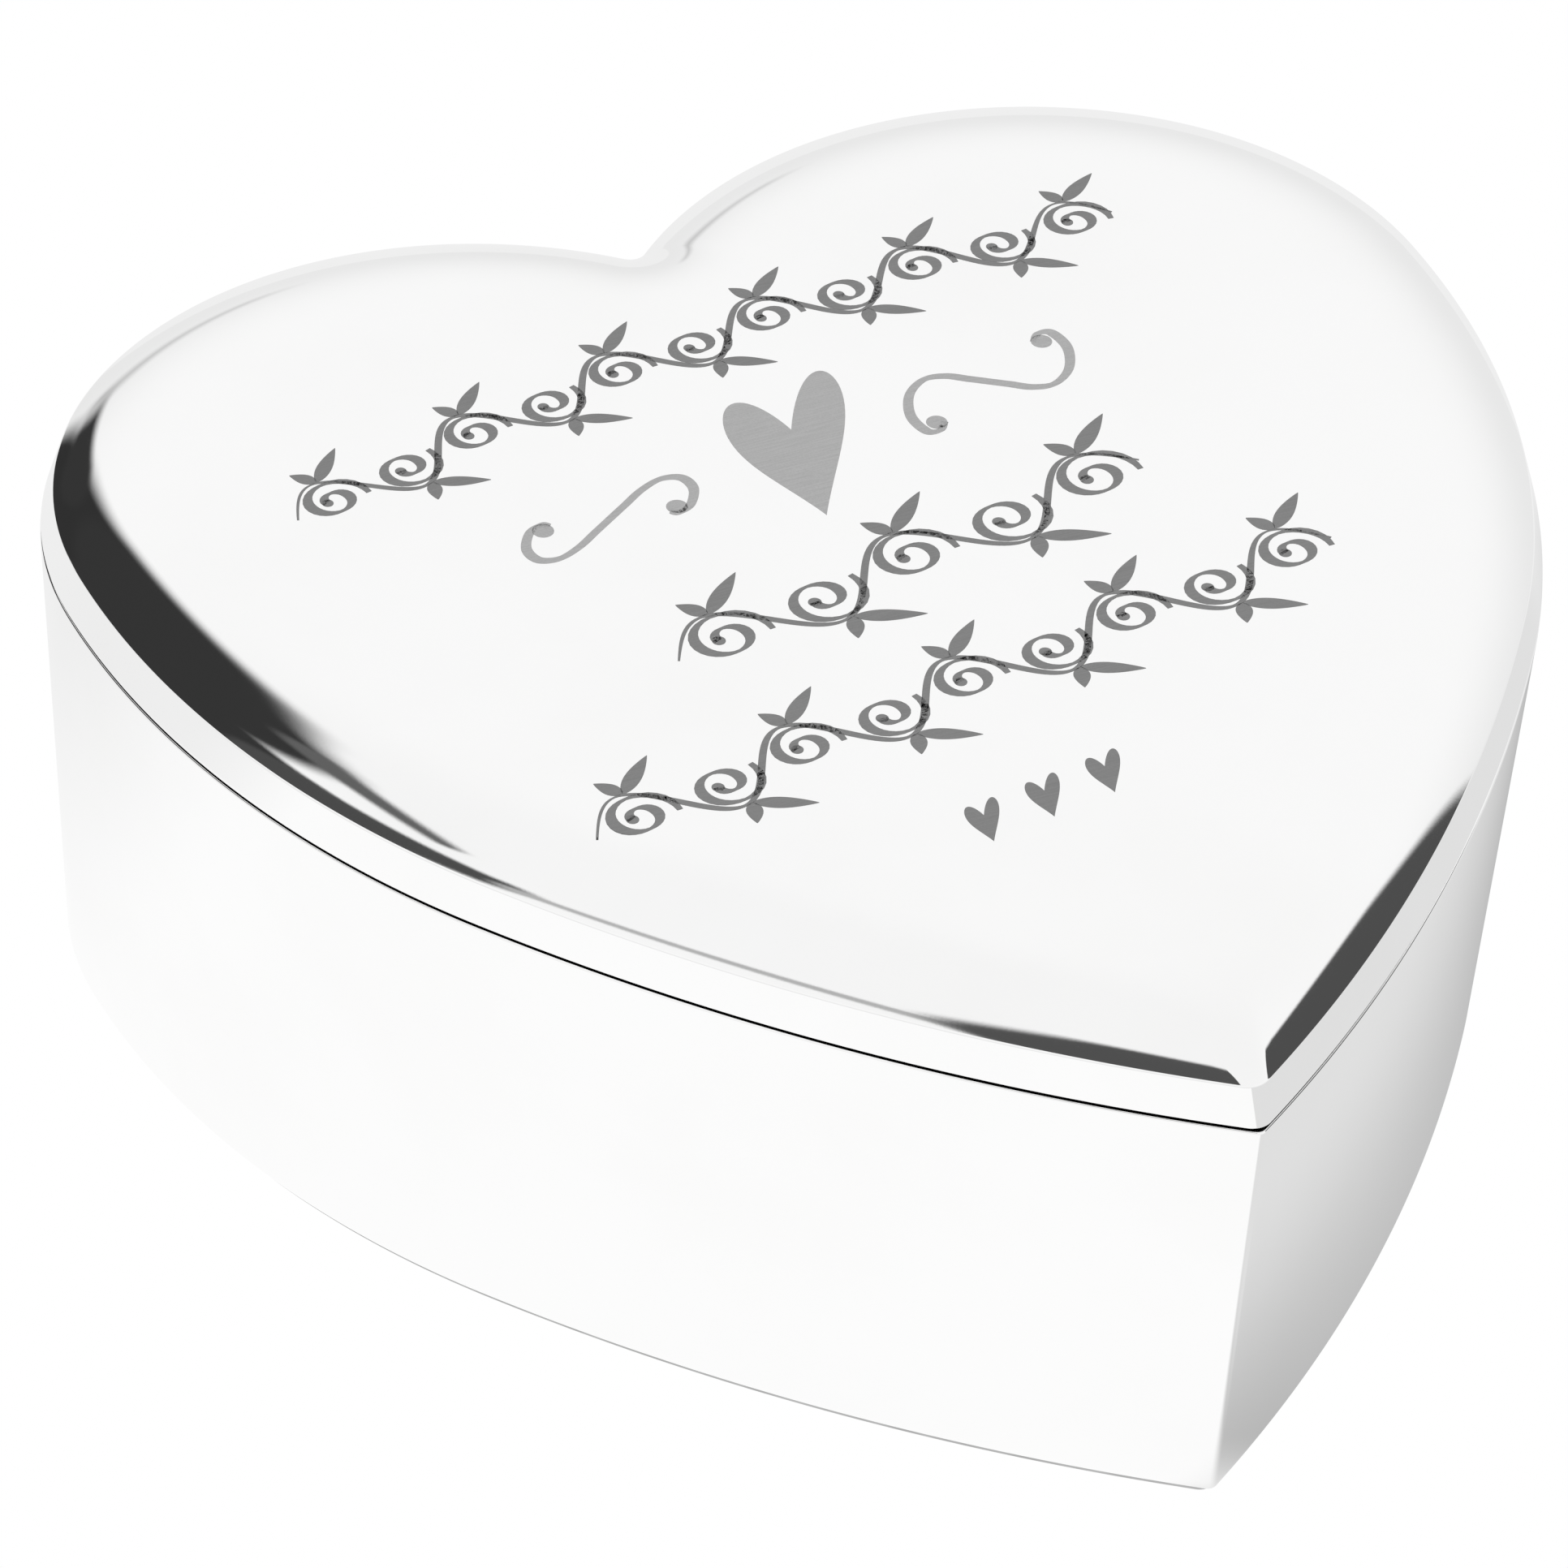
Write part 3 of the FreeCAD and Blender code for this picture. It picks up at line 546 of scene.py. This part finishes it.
class Engraving:
    """Collects the cut lines and shapes of one engraved piece as thin inlaid ribbons."""

    def __init__(self, name):
        self.name = name
        self.vertices = []
        self.faces = []

    def strip(self, left, right):
        """A closed ribbon between two lines of the plan, following the dome."""
        first = len(self.vertices)
        for plan in (left, right):
            low, high = dome(plan) - ENGRAVED_DEPTH, dome(plan) + ENGRAVED_HEIGHT
            self.vertices += [*level(plan, high), *level(plan, low)]
        count = len(left)
        top_l, low_l, top_r, low_r = (first + i * count for i in range(4))
        for i in range(count - 1):
            self.faces.append((top_l + i, top_l + i + 1, top_r + i + 1, top_r + i))
            self.faces.append((low_l + i, low_r + i, low_r + i + 1, low_l + i + 1))
            self.faces.append((top_l + i, low_l + i, low_l + i + 1, top_l + i + 1))
            self.faces.append((top_r + i, top_r + i + 1, low_r + i + 1, low_r + i))
        for i in (0, count - 1):
            self.faces.append((top_l + i, top_r + i, low_r + i, low_l + i))

    def stroke(self, line, thin, thick, ends=(0.3, 0.3)):
        """A pen stroke along a line of the plan: thick where it runs across the pen's edge."""
        heading_of = np.gradient(line, axis=0)
        heading_of /= np.linalg.norm(heading_of, axis=1)[:, None]
        lean = np.arctan2(heading_of[:, 1], heading_of[:, 0]) - PEN_ANGLE
        width = thin + (thick - thin) * np.abs(np.sin(lean)) ** 1.3
        share = np.linspace(0, 1, len(line))
        width *= np.minimum(1, ends[0] + (1 - ends[0]) * share / 0.12)
        width *= np.minimum(1, ends[1] + (1 - ends[1]) * (1 - share) / 0.12)
        side = np.column_stack([-heading_of[:, 1], heading_of[:, 0]]) * width[:, None]
        self.strip(line + side, line - side)

    def drop(self, base, way, length, width):
        """A leaf or tear shape from its base towards a direction."""
        share = np.linspace(0.0, 1.0, 20)
        swell = width * np.sin(math.pi * share**0.75) ** 0.9 + 0.015
        way = np.array(way) / np.linalg.norm(way)
        spine = np.array(base) + share[:, None] * way * length
        side = np.array((-way[1], way[0])) * swell[:, None]
        self.strip(spine + side, spine - side)

    def ball(self, centre, radius):
        """A round dot."""
        turn = np.linspace(0.03, math.pi - 0.03, 20)
        spine = np.array(centre) - radius * np.column_stack([np.cos(turn), 0 * turn])
        side = radius * np.column_stack([0 * turn, np.sin(turn)])
        self.strip(spine + side, spine - side)

    def heart(self, tip, height):
        """A solid heart that stands on its tip."""
        turn = np.linspace(0, 2 * math.pi, 97)[:-1]
        x = 10.7 * np.sin(turn) * np.abs(np.sin(turn)) ** 1.1
        y = 13 * np.cos(turn) - 8 * np.cos(2 * turn) - 2 * np.cos(3 * turn) - np.cos(4 * turn)
        edge = place(np.column_stack([x, y + 20]) * height / 33, tip)
        middle = place((0.0, 0.45 * height), tip)
        first, count = len(self.vertices), len(edge)
        for plan in (edge, middle):
            low, high = dome(plan) - ENGRAVED_DEPTH, dome(plan) + ENGRAVED_HEIGHT
            self.vertices += [*level(plan, high), *level(plan, low)]
        top_middle, low_middle = first + 2 * count, first + 2 * count + 1
        for i in range(count):
            j = (i + 1) % count
            top, low = (first + i, first + j), (first + count + i, first + count + j)
            self.faces.append((*top, top_middle))
            self.faces.append((*low[::-1], low_middle))
            self.faces.append((top[0], low[0], low[1], top[1]))

    def piece(self):
        return solid(self.name, self.vertices, self.faces, sharp=30.0)


def scroll(engraving, centre, size, rise):
    """An S-shaped scroll with a round eye at each end; its curls stand as high as rise says."""
    half = [(0.20, 0.13), (0.45, 0.29), (0.70, 0.35), (0.92, 0.22), (1.0, -0.06), (0.90, -0.33)]
    half += [(0.75, -0.39), (0.66, -0.30)]
    points = [(-x, -y) for x, y in reversed(half)] + [(0.0, 0.0), *half]
    line = smooth_line(points) * size * (1, rise)
    engraving.stroke(place(line, centre), 0.21, 0.35, ends=(0.8, 0.8))
    for sign in (-1, 1):
        eye = (sign * 0.75 * size, -sign * rise * 0.27 * size)
        engraving.ball(place(eye, centre)[0], 0.11 * size)


def vine(engraving, ends, bulge, waves, height, thin, thick):
    """A running scroll along a bowed line: a waving stem, a curl in each wave, and leaves."""
    ends = np.array(ends, float)
    chord = ends[1] - ends[0]
    middle = ends.mean(axis=0) + bulge * np.array((-chord[1], chord[0])) / np.linalg.norm(chord)

    def on_line(share, off):
        share = np.asarray(share, float)[..., None]
        base = ends[0] * (1 - share) ** 2 + 2 * middle * share * (1 - share) + ends[1] * share**2
        run = 2 * (middle - ends[0]) * (1 - share) + 2 * (ends[1] - middle) * share
        run /= np.linalg.norm(run, axis=-1)[..., None]
        return base + np.asarray(off, float)[..., None] * (run @ np.array(((0, 1), (-1, 0))))

    pitch = np.linalg.norm(chord) / waves
    swing = 0.34 * height

    def mapped(points):
        points = np.atleast_2d(points)
        return on_line(points[:, 0] / (pitch * waves), points[:, 1])

    along = np.linspace(0, waves * pitch, 26 * waves)
    stem = np.column_stack([along, swing * np.sin(math.pi * along / pitch)])
    engraving.stroke(mapped(stem), thin, 0.75 * thick)
    for wave in range(waves):
        way = 1 if wave % 2 == 0 else -1
        middle_x = (wave + 0.5) * pitch
        curl = np.array((middle_x + 0.04 * pitch, way * 0.02 * height))
        winding = spiral(curl, -0.35 * way, way * 3.1 * math.pi, 0.42 * pitch, 0.09 * pitch)
        winding[:, 1] = curl[1] + (winding[:, 1] - curl[1]) * 0.9
        engraving.stroke(mapped(winding), thin, thick, ends=(0.5, 0.9))
        engraving.ball(mapped(winding[-1])[0], 0.055 * height)
        crest = (middle_x + 0.1 * pitch, way * swing)
        for lean, length in ((0.55, 0.30), (-0.15, 0.24)):
            root = mapped(crest)[0]
            tip = mapped((crest[0] + lean * pitch, crest[1] + way * length * height))[0]
            engraving.drop(root, tip - root, np.linalg.norm(tip - root), 0.07 * height)


def make_engraving():
    """Generic ornament: a heart between scrolls, with vines above and below it."""
    centre_heart = Engraving("engraved_heart")
    centre_heart.heart((-1.8, 7.9), 13.0)
    scrolls = Engraving("engraved_scrolls")
    scroll(scrolls, (-13.9, 12.6), 6.0, 0.8)
    scroll(scrolls, (13.0, 16.4), 5.9, -1.15)
    upper = Engraving("engraved_upper_vine")
    vine(upper, ((-31.0, 20.0), (27.5, 29.6)), 3.4, 11, 6.4, 0.11, 0.36)
    middle = Engraving("engraved_middle_vine")
    vine(middle, ((-16.0, -1.6), (18.0, 6.0)), 0.0, 5, 7.6, 0.11, 0.38)
    lower = Engraving("engraved_lower_vine")
    vine(lower, ((-27.5, -14.8), (25.5, -5.0)), 0.0, 9, 7.2, 0.11, 0.38)
    small = Engraving("engraved_small_hearts")
    for step in (-1, 0, 1):
        small.heart(place((step * 4.4, 0.0), (-1.6, -23.4))[0], 3.7)
    return [e.piece() for e in (centre_heart, scrolls, upper, middle, lower, small)]


# --- Materials ---------------------------------------------------------------------------------


class Recipe:
    """Builds a node tree: node() makes one node, and feeds it values or other nodes' outputs."""

    def __init__(self, tree):
        self.tree = tree
        tree.nodes.clear()

    def node(self, kind, inputs=None, **settings):
        made = self.tree.nodes.new("ShaderNode" + kind)
        for name, value in settings.items():
            setattr(made, name, value)
        for name, value in (inputs or {}).items():
            socket = made.inputs[name]
            if isinstance(value, bpy.types.Node):
                value = value.outputs[0]
            if isinstance(value, bpy.types.NodeSocket):
                self.tree.links.new(value, socket)
            else:
                socket.default_value = value
        return made

    def sum(self, operation, *values):
        return self.node("Math", dict(enumerate(values)), operation=operation)

    def between(self, value, low, high, to_low=0.0, to_high=1.0):
        """Smoothly turns a range of a value into another range."""
        spans = {1: low, 2: high, 3: to_low, 4: to_high}
        return self.node("MapRange", {0: value, **spans}, interpolation_type="SMOOTHSTEP")

    def blend(self, share, first, second, kind="MIX"):
        made = self.node("Mix", {0: share}, data_type="RGBA", blend_type=kind)
        for socket, value in ((made.inputs[6], first), (made.inputs[7], second)):
            if isinstance(value, bpy.types.Node):
                value = value.outputs[0]
            if isinstance(value, bpy.types.NodeSocket):
                self.tree.links.new(value, socket)
            else:
                socket.default_value = (*value, 1.0)
        return made.outputs[2]

    def noise(self, where, scale, detail=2.0, roughness=0.5):
        inputs = {"Vector": where, "Scale": scale, "Detail": detail, "Roughness": roughness}
        return self.node("TexNoise", inputs)

    def stretched(self, where, factors, turn=0.0):
        inputs = {"Vector": where, "Scale": factors, "Rotation": (0.0, 0.0, turn)}
        return self.node("Mapping", inputs)

    def bump(self, height, distance, strength=1.0, under=None):
        inputs = {"Height": height, "Distance": distance, "Strength": strength}
        if under is not None:
            inputs["Normal"] = under
        return self.node("Bump", inputs)

    def finish(self, shader):
        self.node("OutputMaterial", {"Surface": shader.outputs[0]})


def new_material(name):
    material = bpy.data.materials.new(name)
    material.use_nodes = True
    recipe = Recipe(material.node_tree)
    where = recipe.node("TexCoord").outputs["Object"]
    return material, recipe, where


def polished_silver():
    """Mirror-polished plate: slow waves left by the buffing wheel, hairlines and faint smears."""
    material, r, where = new_material("polished_silver")
    smear = r.noise(where, 45.0, 4.0, 0.6)
    tone = r.blend(r.between(smear, 0.35, 0.75), (0.975, 0.975, 0.974), (0.958, 0.957, 0.954))
    waves = r.bump(r.noise(where, 55.0, 1.0), 1.6e-5)
    hair = r.noise(r.stretched(where, (250.0, 9000.0, 9000.0), 0.5), 1.0, 2.0)
    cross = r.noise(r.stretched(where, (9000.0, 300.0, 9000.0), 0.9), 1.0, 2.0)
    hairlines = r.bump(r.sum("ADD", hair, cross), 1.5e-7, 1.0, waves)
    smeared = r.between(smear, 0.3, 0.8, 0.03, 0.055)
    gloss = r.sum("ADD", smeared, r.between(hair, 0.6, 0.8, 0.0, 0.02))
    r.finish(
        r.node(
            "BsdfPrincipled",
            {"Base Color": tone, "Metallic": 1.0, "Roughness": gloss, "Normal": hairlines},
        )
    )
    return material


def frosted_cut(name, shade):
    """Laser-frosted metal with a fine hatch."""
    material, r, where = new_material(name)
    grain = r.noise(where, 9000.0, 2.0)
    hatch = r.noise(r.stretched(where, (400.0, 14000.0, 400.0), 0.78), 1.0, 1.0)
    both = r.sum("ADD", r.sum("MULTIPLY", grain, 0.6), r.sum("MULTIPLY", hatch, 0.4))
    darker = tuple(0.9 * value for value in shade)
    lighter = tuple(1.1 * value for value in shade)
    r.finish(
        r.node(
            "BsdfPrincipled",
            {
                "Base Color": r.blend(r.between(both, 0.3, 0.7), darker, lighter),
                "Metallic": 0.6,
                "Roughness": r.between(grain, 0.3, 0.7, 0.5, 0.65),
                "Specular IOR Level": 0.2,
                "Normal": r.bump(both, 4.0e-6, 0.6),
            },
        )
    )
    return material


def velvet():
    """Black velvet: short dense pile, brushed in slightly different directions."""
    material, r, where = new_material("black_velvet")
    pile = r.noise(where, 6500.0, 2.0, 0.6)
    brushed = r.noise(where, 110.0, 2.0, 0.5)
    tufts = r.noise(where, 1700.0, 3.0, 0.6)
    pile_tone = r.blend(r.between(tufts, 0.3, 0.7), (0.004, 0.004, 0.005), (0.014, 0.013, 0.015))
    tone = r.blend(r.between(brushed, 0.35, 0.75), pile_tone, (0.018, 0.017, 0.019))
    relief = r.bump(pile, 6.0e-5, 0.9, r.bump(tufts, 1.2e-4, 0.7, r.bump(brushed, 4.0e-4, 0.5)))
    r.finish(
        r.node(
            "BsdfPrincipled",
            {
                "Base Color": tone,
                "Roughness": 0.9,
                "Specular IOR Level": 0.08,
                "Sheen Weight": r.between(brushed, 0.3, 0.75, 0.24, 0.38),
                "Sheen Roughness": 0.32,
                "Sheen Tint": (0.62, 0.62, 0.68, 1.0),
                "Normal": relief,
            },
        )
    )
    return material


def felt():
    """Pressed black felt with tangled fibres and a little lint."""
    material, r, where = new_material("black_felt")
    fibres = r.noise(r.stretched(where, (900.0, 5200.0, 900.0), 0.6), 1.0, 4.0, 0.7)
    crossed = r.noise(r.stretched(where, (5200.0, 900.0, 900.0), 0.25), 1.0, 4.0, 0.7)
    tangle = r.sum("ADD", r.sum("MULTIPLY", fibres, 0.5), r.sum("MULTIPLY", crossed, 0.5))
    lint = r.between(r.noise(where, 1500.0, 2.0), 0.70, 0.78)
    tone = r.blend(r.between(tangle, 0.35, 0.65), (0.010, 0.010, 0.011), (0.034, 0.033, 0.036))
    r.finish(
        r.node(
            "BsdfPrincipled",
            {
                "Base Color": r.blend(lint, tone, (0.16, 0.16, 0.17)),
                "Roughness": 0.97,
                "Specular IOR Level": 0.05,
                "Sheen Weight": 0.25,
                "Sheen Tint": (0.5, 0.5, 0.52, 1.0),
                "Normal": r.bump(tangle, 1.6e-4, 0.9),
            },
        )
    )
    return material


def card():
    """Black card with flecks of grey fibre."""
    material, r, where = new_material("black_card")
    mottle = r.noise(where, 500.0, 5.0, 0.65)
    flecks = r.between(r.noise(r.stretched(where, (700.0, 2600.0, 2600.0)), 1.0, 2.0), 0.66, 0.74)
    tone = r.blend(r.between(mottle, 0.3, 0.7), (0.016, 0.016, 0.017), (0.032, 0.031, 0.031))
    r.finish(
        r.node(
            "BsdfPrincipled",
            {
                "Base Color": r.blend(flecks, tone, (0.07, 0.07, 0.075)),
                "Roughness": 0.88,
                "Specular IOR Level": 0.2,
                "Normal": r.bump(mottle, 5.0e-5, 0.8),
            },
        )
    )
    return material


def foam():
    """Open-cell foam, slightly yellowed, with painted shade in the pits of its cells."""
    material, r, where = new_material("cushion_foam")
    cells = r.node("TexVoronoi", {"Vector": where, "Scale": 2200.0})
    age = r.noise(where, 90.0, 3.0)
    tone = r.blend(r.between(age, 0.3, 0.7), (0.72, 0.69, 0.58), (0.80, 0.77, 0.69))
    # The pits of the cells are coloured darker: painted shade in the pores, laid over the foam's
    # own yellowed tone.
    shade = r.blend(r.between(cells.outputs["Distance"], 0.0, 0.5), (0.30, 0.28, 0.22), tone)
    r.finish(
        r.node(
            "BsdfPrincipled",
            {
                "Base Color": shade,
                "Roughness": 0.95,
                "Normal": r.bump(cells.outputs["Distance"], 2.0e-4, 0.8),
            },
        )
    )
    return material


def brushed_metal(name, shade, grain, gloss):
    """Drawn or brushed metal with its grain along X, dulled a little by handling."""
    material, r, where = new_material(name)
    lines = r.noise(r.stretched(where, grain), 1.0, 3.0, 0.6)
    dull = r.noise(where, 350.0, 3.0)
    darker = tuple(0.8 * value for value in shade)
    r.finish(
        r.node(
            "BsdfPrincipled",
            {
                "Base Color": r.blend(r.between(dull, 0.35, 0.75), shade, darker),
                "Metallic": 1.0,
                "Roughness": r.between(lines, 0.3, 0.7, gloss, gloss + 0.14),
                "Anisotropic": 0.4,
                "Normal": r.bump(lines, 2.0e-6, 0.8),
            },
        )
    )
    return material


# --- Studio ------------------------------------------------------------------------------------

WHITE = (1.0, 1.0, 1.0, 1.0)
TABLE_HALF = 3000.0


def towards(azimuth, elevation):
    """A direction on the sky: azimuth counted from +X towards +Y, both in degrees."""
    a, e = math.radians(azimuth), math.radians(elevation)
    return np.array((math.cos(a) * math.cos(e), math.sin(a) * math.cos(e), math.sin(e)))


def streak(r, sky, start, end, reach, softness):
    """A share from 0 to 1 that is 1 on a soft-edged streak of the sky between two directions.

    reach is the half-width in radians at the start and at the end."""
    a, b = towards(*start), towards(*end)
    span = math.acos(float(a @ b))
    pole = np.cross(a, b) / math.sin(span)
    beside_a = np.cross(pole, a)

    def part(axis):
        vector = r.node("VectorMath", {0: sky, 1: tuple(axis)}, operation="DOT_PRODUCT")
        return vector.outputs["Value"]

    off = part(pole)
    angle = r.sum("ARCTAN2", part(beside_a), part(a))
    beyond = r.sum("MAXIMUM", r.sum("MULTIPLY", angle, -1.0), r.sum("SUBTRACT", angle, span))
    beyond = r.sum("MAXIMUM", beyond, 0.0)
    away = r.sum("SQRT", r.sum("ADD", r.sum("POWER", off, 2.0), r.sum("POWER", beyond, 2.0)))
    width = r.node("MapRange", {0: angle, 1: 0.0, 2: span, 3: reach[0], 4: reach[1]})
    edge = r.sum("SUBTRACT", away, width)
    return r.between(edge, -softness, softness, 1.0, 0.0)


def make_sky():
    """A white tent with an overhead softbox, and the dark gaps between its panels."""
    world = bpy.data.worlds.new("studio")
    bpy.context.scene.world = world
    world.use_nodes = True
    r = Recipe(world.node_tree)
    sky = r.node("TexCoord").outputs["Generated"]
    # Each gap runs between two directions. Then come its half-width at each, the softness of
    # its edge and its brightness, with all angles in degrees.
    gaps = (
        ((104, 16), (104, 42), (15, 12), 3.0, 0.03),
        ((84, 14), (93, 24), (1.2, 6), 1.5, 0.035),
        ((73, 13), (85, 14), (0.6, 2.2), 2.5, 0.55),
        ((106, 42), (122, 48), (12, 9.5), 2.5, 0.035),
        ((128, 32), (148, 43), (13, 7), 1.2, 0.035),
        ((148, 44), (173, 53), (6, 2.4), 1.0, 0.07),
        ((122, 55), (155, 58.5), (2.6, 1.3), 1.1, 0.12),
        ((176, 53.5), (206, 61.5), (1.0, 1.5), 0.8, 0.45),
        ((212, 64), (217, 71), (6, 6), 1.2, 0.08),
        ((1, 15), (2, 32), (10, 9.5), 0.9, 0.075),
    )
    height = r.node("SeparateXYZ", {0: sky}).outputs["Z"]
    rise = r.between(height, 0.05, 0.60, 0.83, 0.97)
    light = r.sum("SUBTRACT", rise, r.between(height, 0.62, 0.90, 0.0, 0.03))
    shade = r.node("CombineColor", {0: light, 1: light, 2: light}).outputs[0]
    for start, end, reach, softness, brightness in gaps:
        reach = [math.radians(value) for value in reach]
        share = streak(r, sky, start, end, reach, math.radians(softness))
        shade = r.blend(share, shade, (brightness,) * 3)
    lit = r.node("Background", {"Color": shade, "Strength": 1.0})
    plain = r.node("Background", {"Color": WHITE, "Strength": 1.0})
    seen = r.node("LightPath").outputs["Is Camera Ray"]
    both = r.node("MixShader", {0: seen, 1: lit, 2: plain})
    r.node("OutputWorld", {"Surface": both})


def stage_sheet(name, outline, z, material):
    """A flat sheet of the stage, from points of the plan in millimetres."""
    mesh = bpy.data.meshes.new(name)
    mesh.from_pydata((level(outline, z) * MM).tolist(), [], [tuple(range(len(outline)))])
    mesh.materials.append(material)
    sheet = bpy.data.objects.new(name, mesh)
    bpy.context.scene.collection.objects.link(sheet)


def make_floor():
    """A white table, evenly white to the camera. Seen in reflections it carries painted shade
    beside the box's right wall and a painted dimming behind the box; a dim glowing sheet paints
    shadow under the turn of its foot.
    """
    material, r, where = new_material("white_table")
    right_wall = np.array((0.78, -0.62, 0.0))
    foot_of_wall = tuple(np.array((0.0, -49.1, 0.0)) * MM)
    from_wall = r.node("VectorMath", {0: where, 1: foot_of_wall}, operation="SUBTRACT")
    away = r.node("VectorMath", {0: from_wall, 1: tuple(right_wall)}, operation="DOT_PRODUCT")
    # Painted shade: the floor's glow darkens towards the box's right wall, seen only in
    # reflections.
    shaded = r.between(away.outputs["Value"], -0.004, 0.017, 0.46, 0.76)
    plan = r.node("SeparateXYZ", {0: where})
    side = r.between(plan.outputs["X"], -0.003, 0.006)
    front = r.between(plan.outputs["Y"], 0.015, 0.045, 1.0, 0.0)
    near_wall = r.sum("MULTIPLY", side, front)
    # Painted shade: the open floor behind the box glows a little dimmer, seen only in reflections.
    open_floor = r.between(plan.outputs["Y"], 0.02, 0.06, 1.0, 0.88)
    falloff = r.node("Mix", {0: near_wall, 2: open_floor, 3: shaded}, data_type="FLOAT")
    seen = r.node("LightPath").outputs["Is Camera Ray"]
    glow = r.node("Emission", {"Color": WHITE, "Strength": falloff})
    bright = r.node("Emission", {"Color": WHITE, "Strength": 1.0})
    r.finish(r.node("MixShader", {0: seen, 1: glow, 2: bright}))
    corners = TABLE_HALF * np.array([(-1, -1), (1, -1), (1, 1), (-1, 1)])
    stage_sheet("studio_floor", corners, -0.05, material)
    # The contact_shade sheet glows dimly grey: a painted shadow under the foot, seen by the camera
    # too.
    dim, r, where = new_material("contact_shade")
    mottle = r.between(r.noise(where, 400.0, 2.0), 0.3, 0.7, 0.42, 0.5)
    r.finish(r.node("Emission", {"Color": WHITE, "Strength": mottle}))
    stage_sheet("contact_shade", wall_ring(0.7 * FOOT_ROUND, FOOT)[:, :2], -0.02, dim)


def make_key_light():
    """A soft area light from the front left that leaves no highlight on the silver."""
    light = bpy.data.lights.new("key", "AREA")
    light.energy = 4.0
    light.size = 0.6
    key = bpy.data.objects.new("key", light)
    key.location = (-0.7, -0.5, 1.0)
    key.rotation_mode = "QUATERNION"
    key.rotation_quaternion = (-key.location).to_track_quat("-Z", "Y")
    key.visible_glossy = False
    key.visible_camera = False
    bpy.context.scene.collection.objects.link(key)


CAMERA_AZIMUTH, CAMERA_ELEVATION, CAMERA_ROLL = -27.15, 37.9, 3.228
CAMERA_DISTANCE, CAMERA_LENS = 2.4, 919.6
AIM_MIDDLE = (0.0, -1.6, 15.0)
AIM_SHIFT = (-7.3, 5.3)


def make_camera():
    """A long lens from the front left, far enough away for almost parallel lines."""
    a, e, roll = (math.radians(v) for v in (CAMERA_AZIMUTH, CAMERA_ELEVATION, CAMERA_ROLL))
    back = Vector((math.sin(a) * math.cos(e), -math.cos(a) * math.cos(e), math.sin(e)))
    level_right = Vector((math.cos(a), math.sin(a), 0.0))
    level_up = back.cross(level_right)
    right = math.cos(roll) * level_right + math.sin(roll) * level_up
    up = back.cross(right)
    data = bpy.data.cameras.new("camera")
    data.lens, data.sensor_width = CAMERA_LENS, 36.0
    data.clip_start, data.clip_end = 0.1, 100.0
    camera = bpy.data.objects.new("camera", data)
    aim = (Vector(AIM_MIDDLE) + AIM_SHIFT[0] * right + AIM_SHIFT[1] * up) * MM
    facing = Matrix((right, up, back)).transposed().to_4x4()
    camera.matrix_world = Matrix.Translation(aim + CAMERA_DISTANCE * back) @ facing
    bpy.context.scene.collection.objects.link(camera)
    bpy.context.scene.camera = camera


# --- The box put together ----------------------------------------------------------------------


def dress(piece, material):
    """Gives a piece or a CAD node its only material."""
    if piece.material_slots:
        for slot in piece.material_slots:
            slot.material = material
    else:
        piece.data.materials.append(material)
    return piece


def fit(piece, body, material, slot, *nodes):
    """Dresses a piece that rides on a body and may stand for CAD nodes."""
    dress(piece, material)
    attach(piece, body)
    if nodes:
        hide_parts(*nodes)
    return piece


def build():
    silver, pile, padding = polished_silver(), velvet(), foam()
    fit(make_base_shell(), "base", silver, "silver_plate", "base_shell")
    fit(make_lid_shell(), "lid", silver, "silver_plate", "lid_shell")
    under = fit(make_base_felt(), "base", felt(), "base_felt", "base_felt")
    lining = fit(make_wall_lining(), "base", pile, "black_velvet", "wall_velvet")
    pads = (("floor", "base", make_floor_pad()), ("lid", "lid", make_lid_pad()))
    for where, body, (cover, filling) in pads:
        fit(cover, body, pile, "black_velvet", f"{where}_velvet")
        fit(filling, body, padding, "foam", f"{where}_foam")
    perimeter = sum(np.linalg.norm(np.diff(heart(LINING_PERIMETER_INSET), axis=0), axis=1))
    plan = wall_ring(FELT_MARGIN + FELT_GAP, FOOT)[:, :2]
    cut = frosted_cut("engraved_cut", (0.27,) * 3)
    light_cut = frosted_cut("engraved_fill", (0.50,) * 3)
    for piece in make_engraving():
        solid_fill = piece.name in ("engraved_heart", "engraved_scrolls")
        fit(piece, "lid", light_cut if solid_fill else cut, "engraving")
    board = card()
    plate = brushed_metal("hinge_nickel", (0.72, 0.70, 0.66), (500.0, 12000.0, 12000.0), 0.16)
    wire = brushed_metal("pin_steel", (0.60, 0.60, 0.61), (300.0, 15000.0, 15000.0), 0.22)
    finishes = {"card": board, "board": board, "leaf": plate, "pin": wire}
    for name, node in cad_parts.items():
        kind = name.split("_")[-1]
        if kind in finishes:
            dress(node, finishes[kind])


build()
make_sky()
make_floor()
make_key_light()
make_camera()
bpy.context.scene.view_settings.view_transform = "Standard"
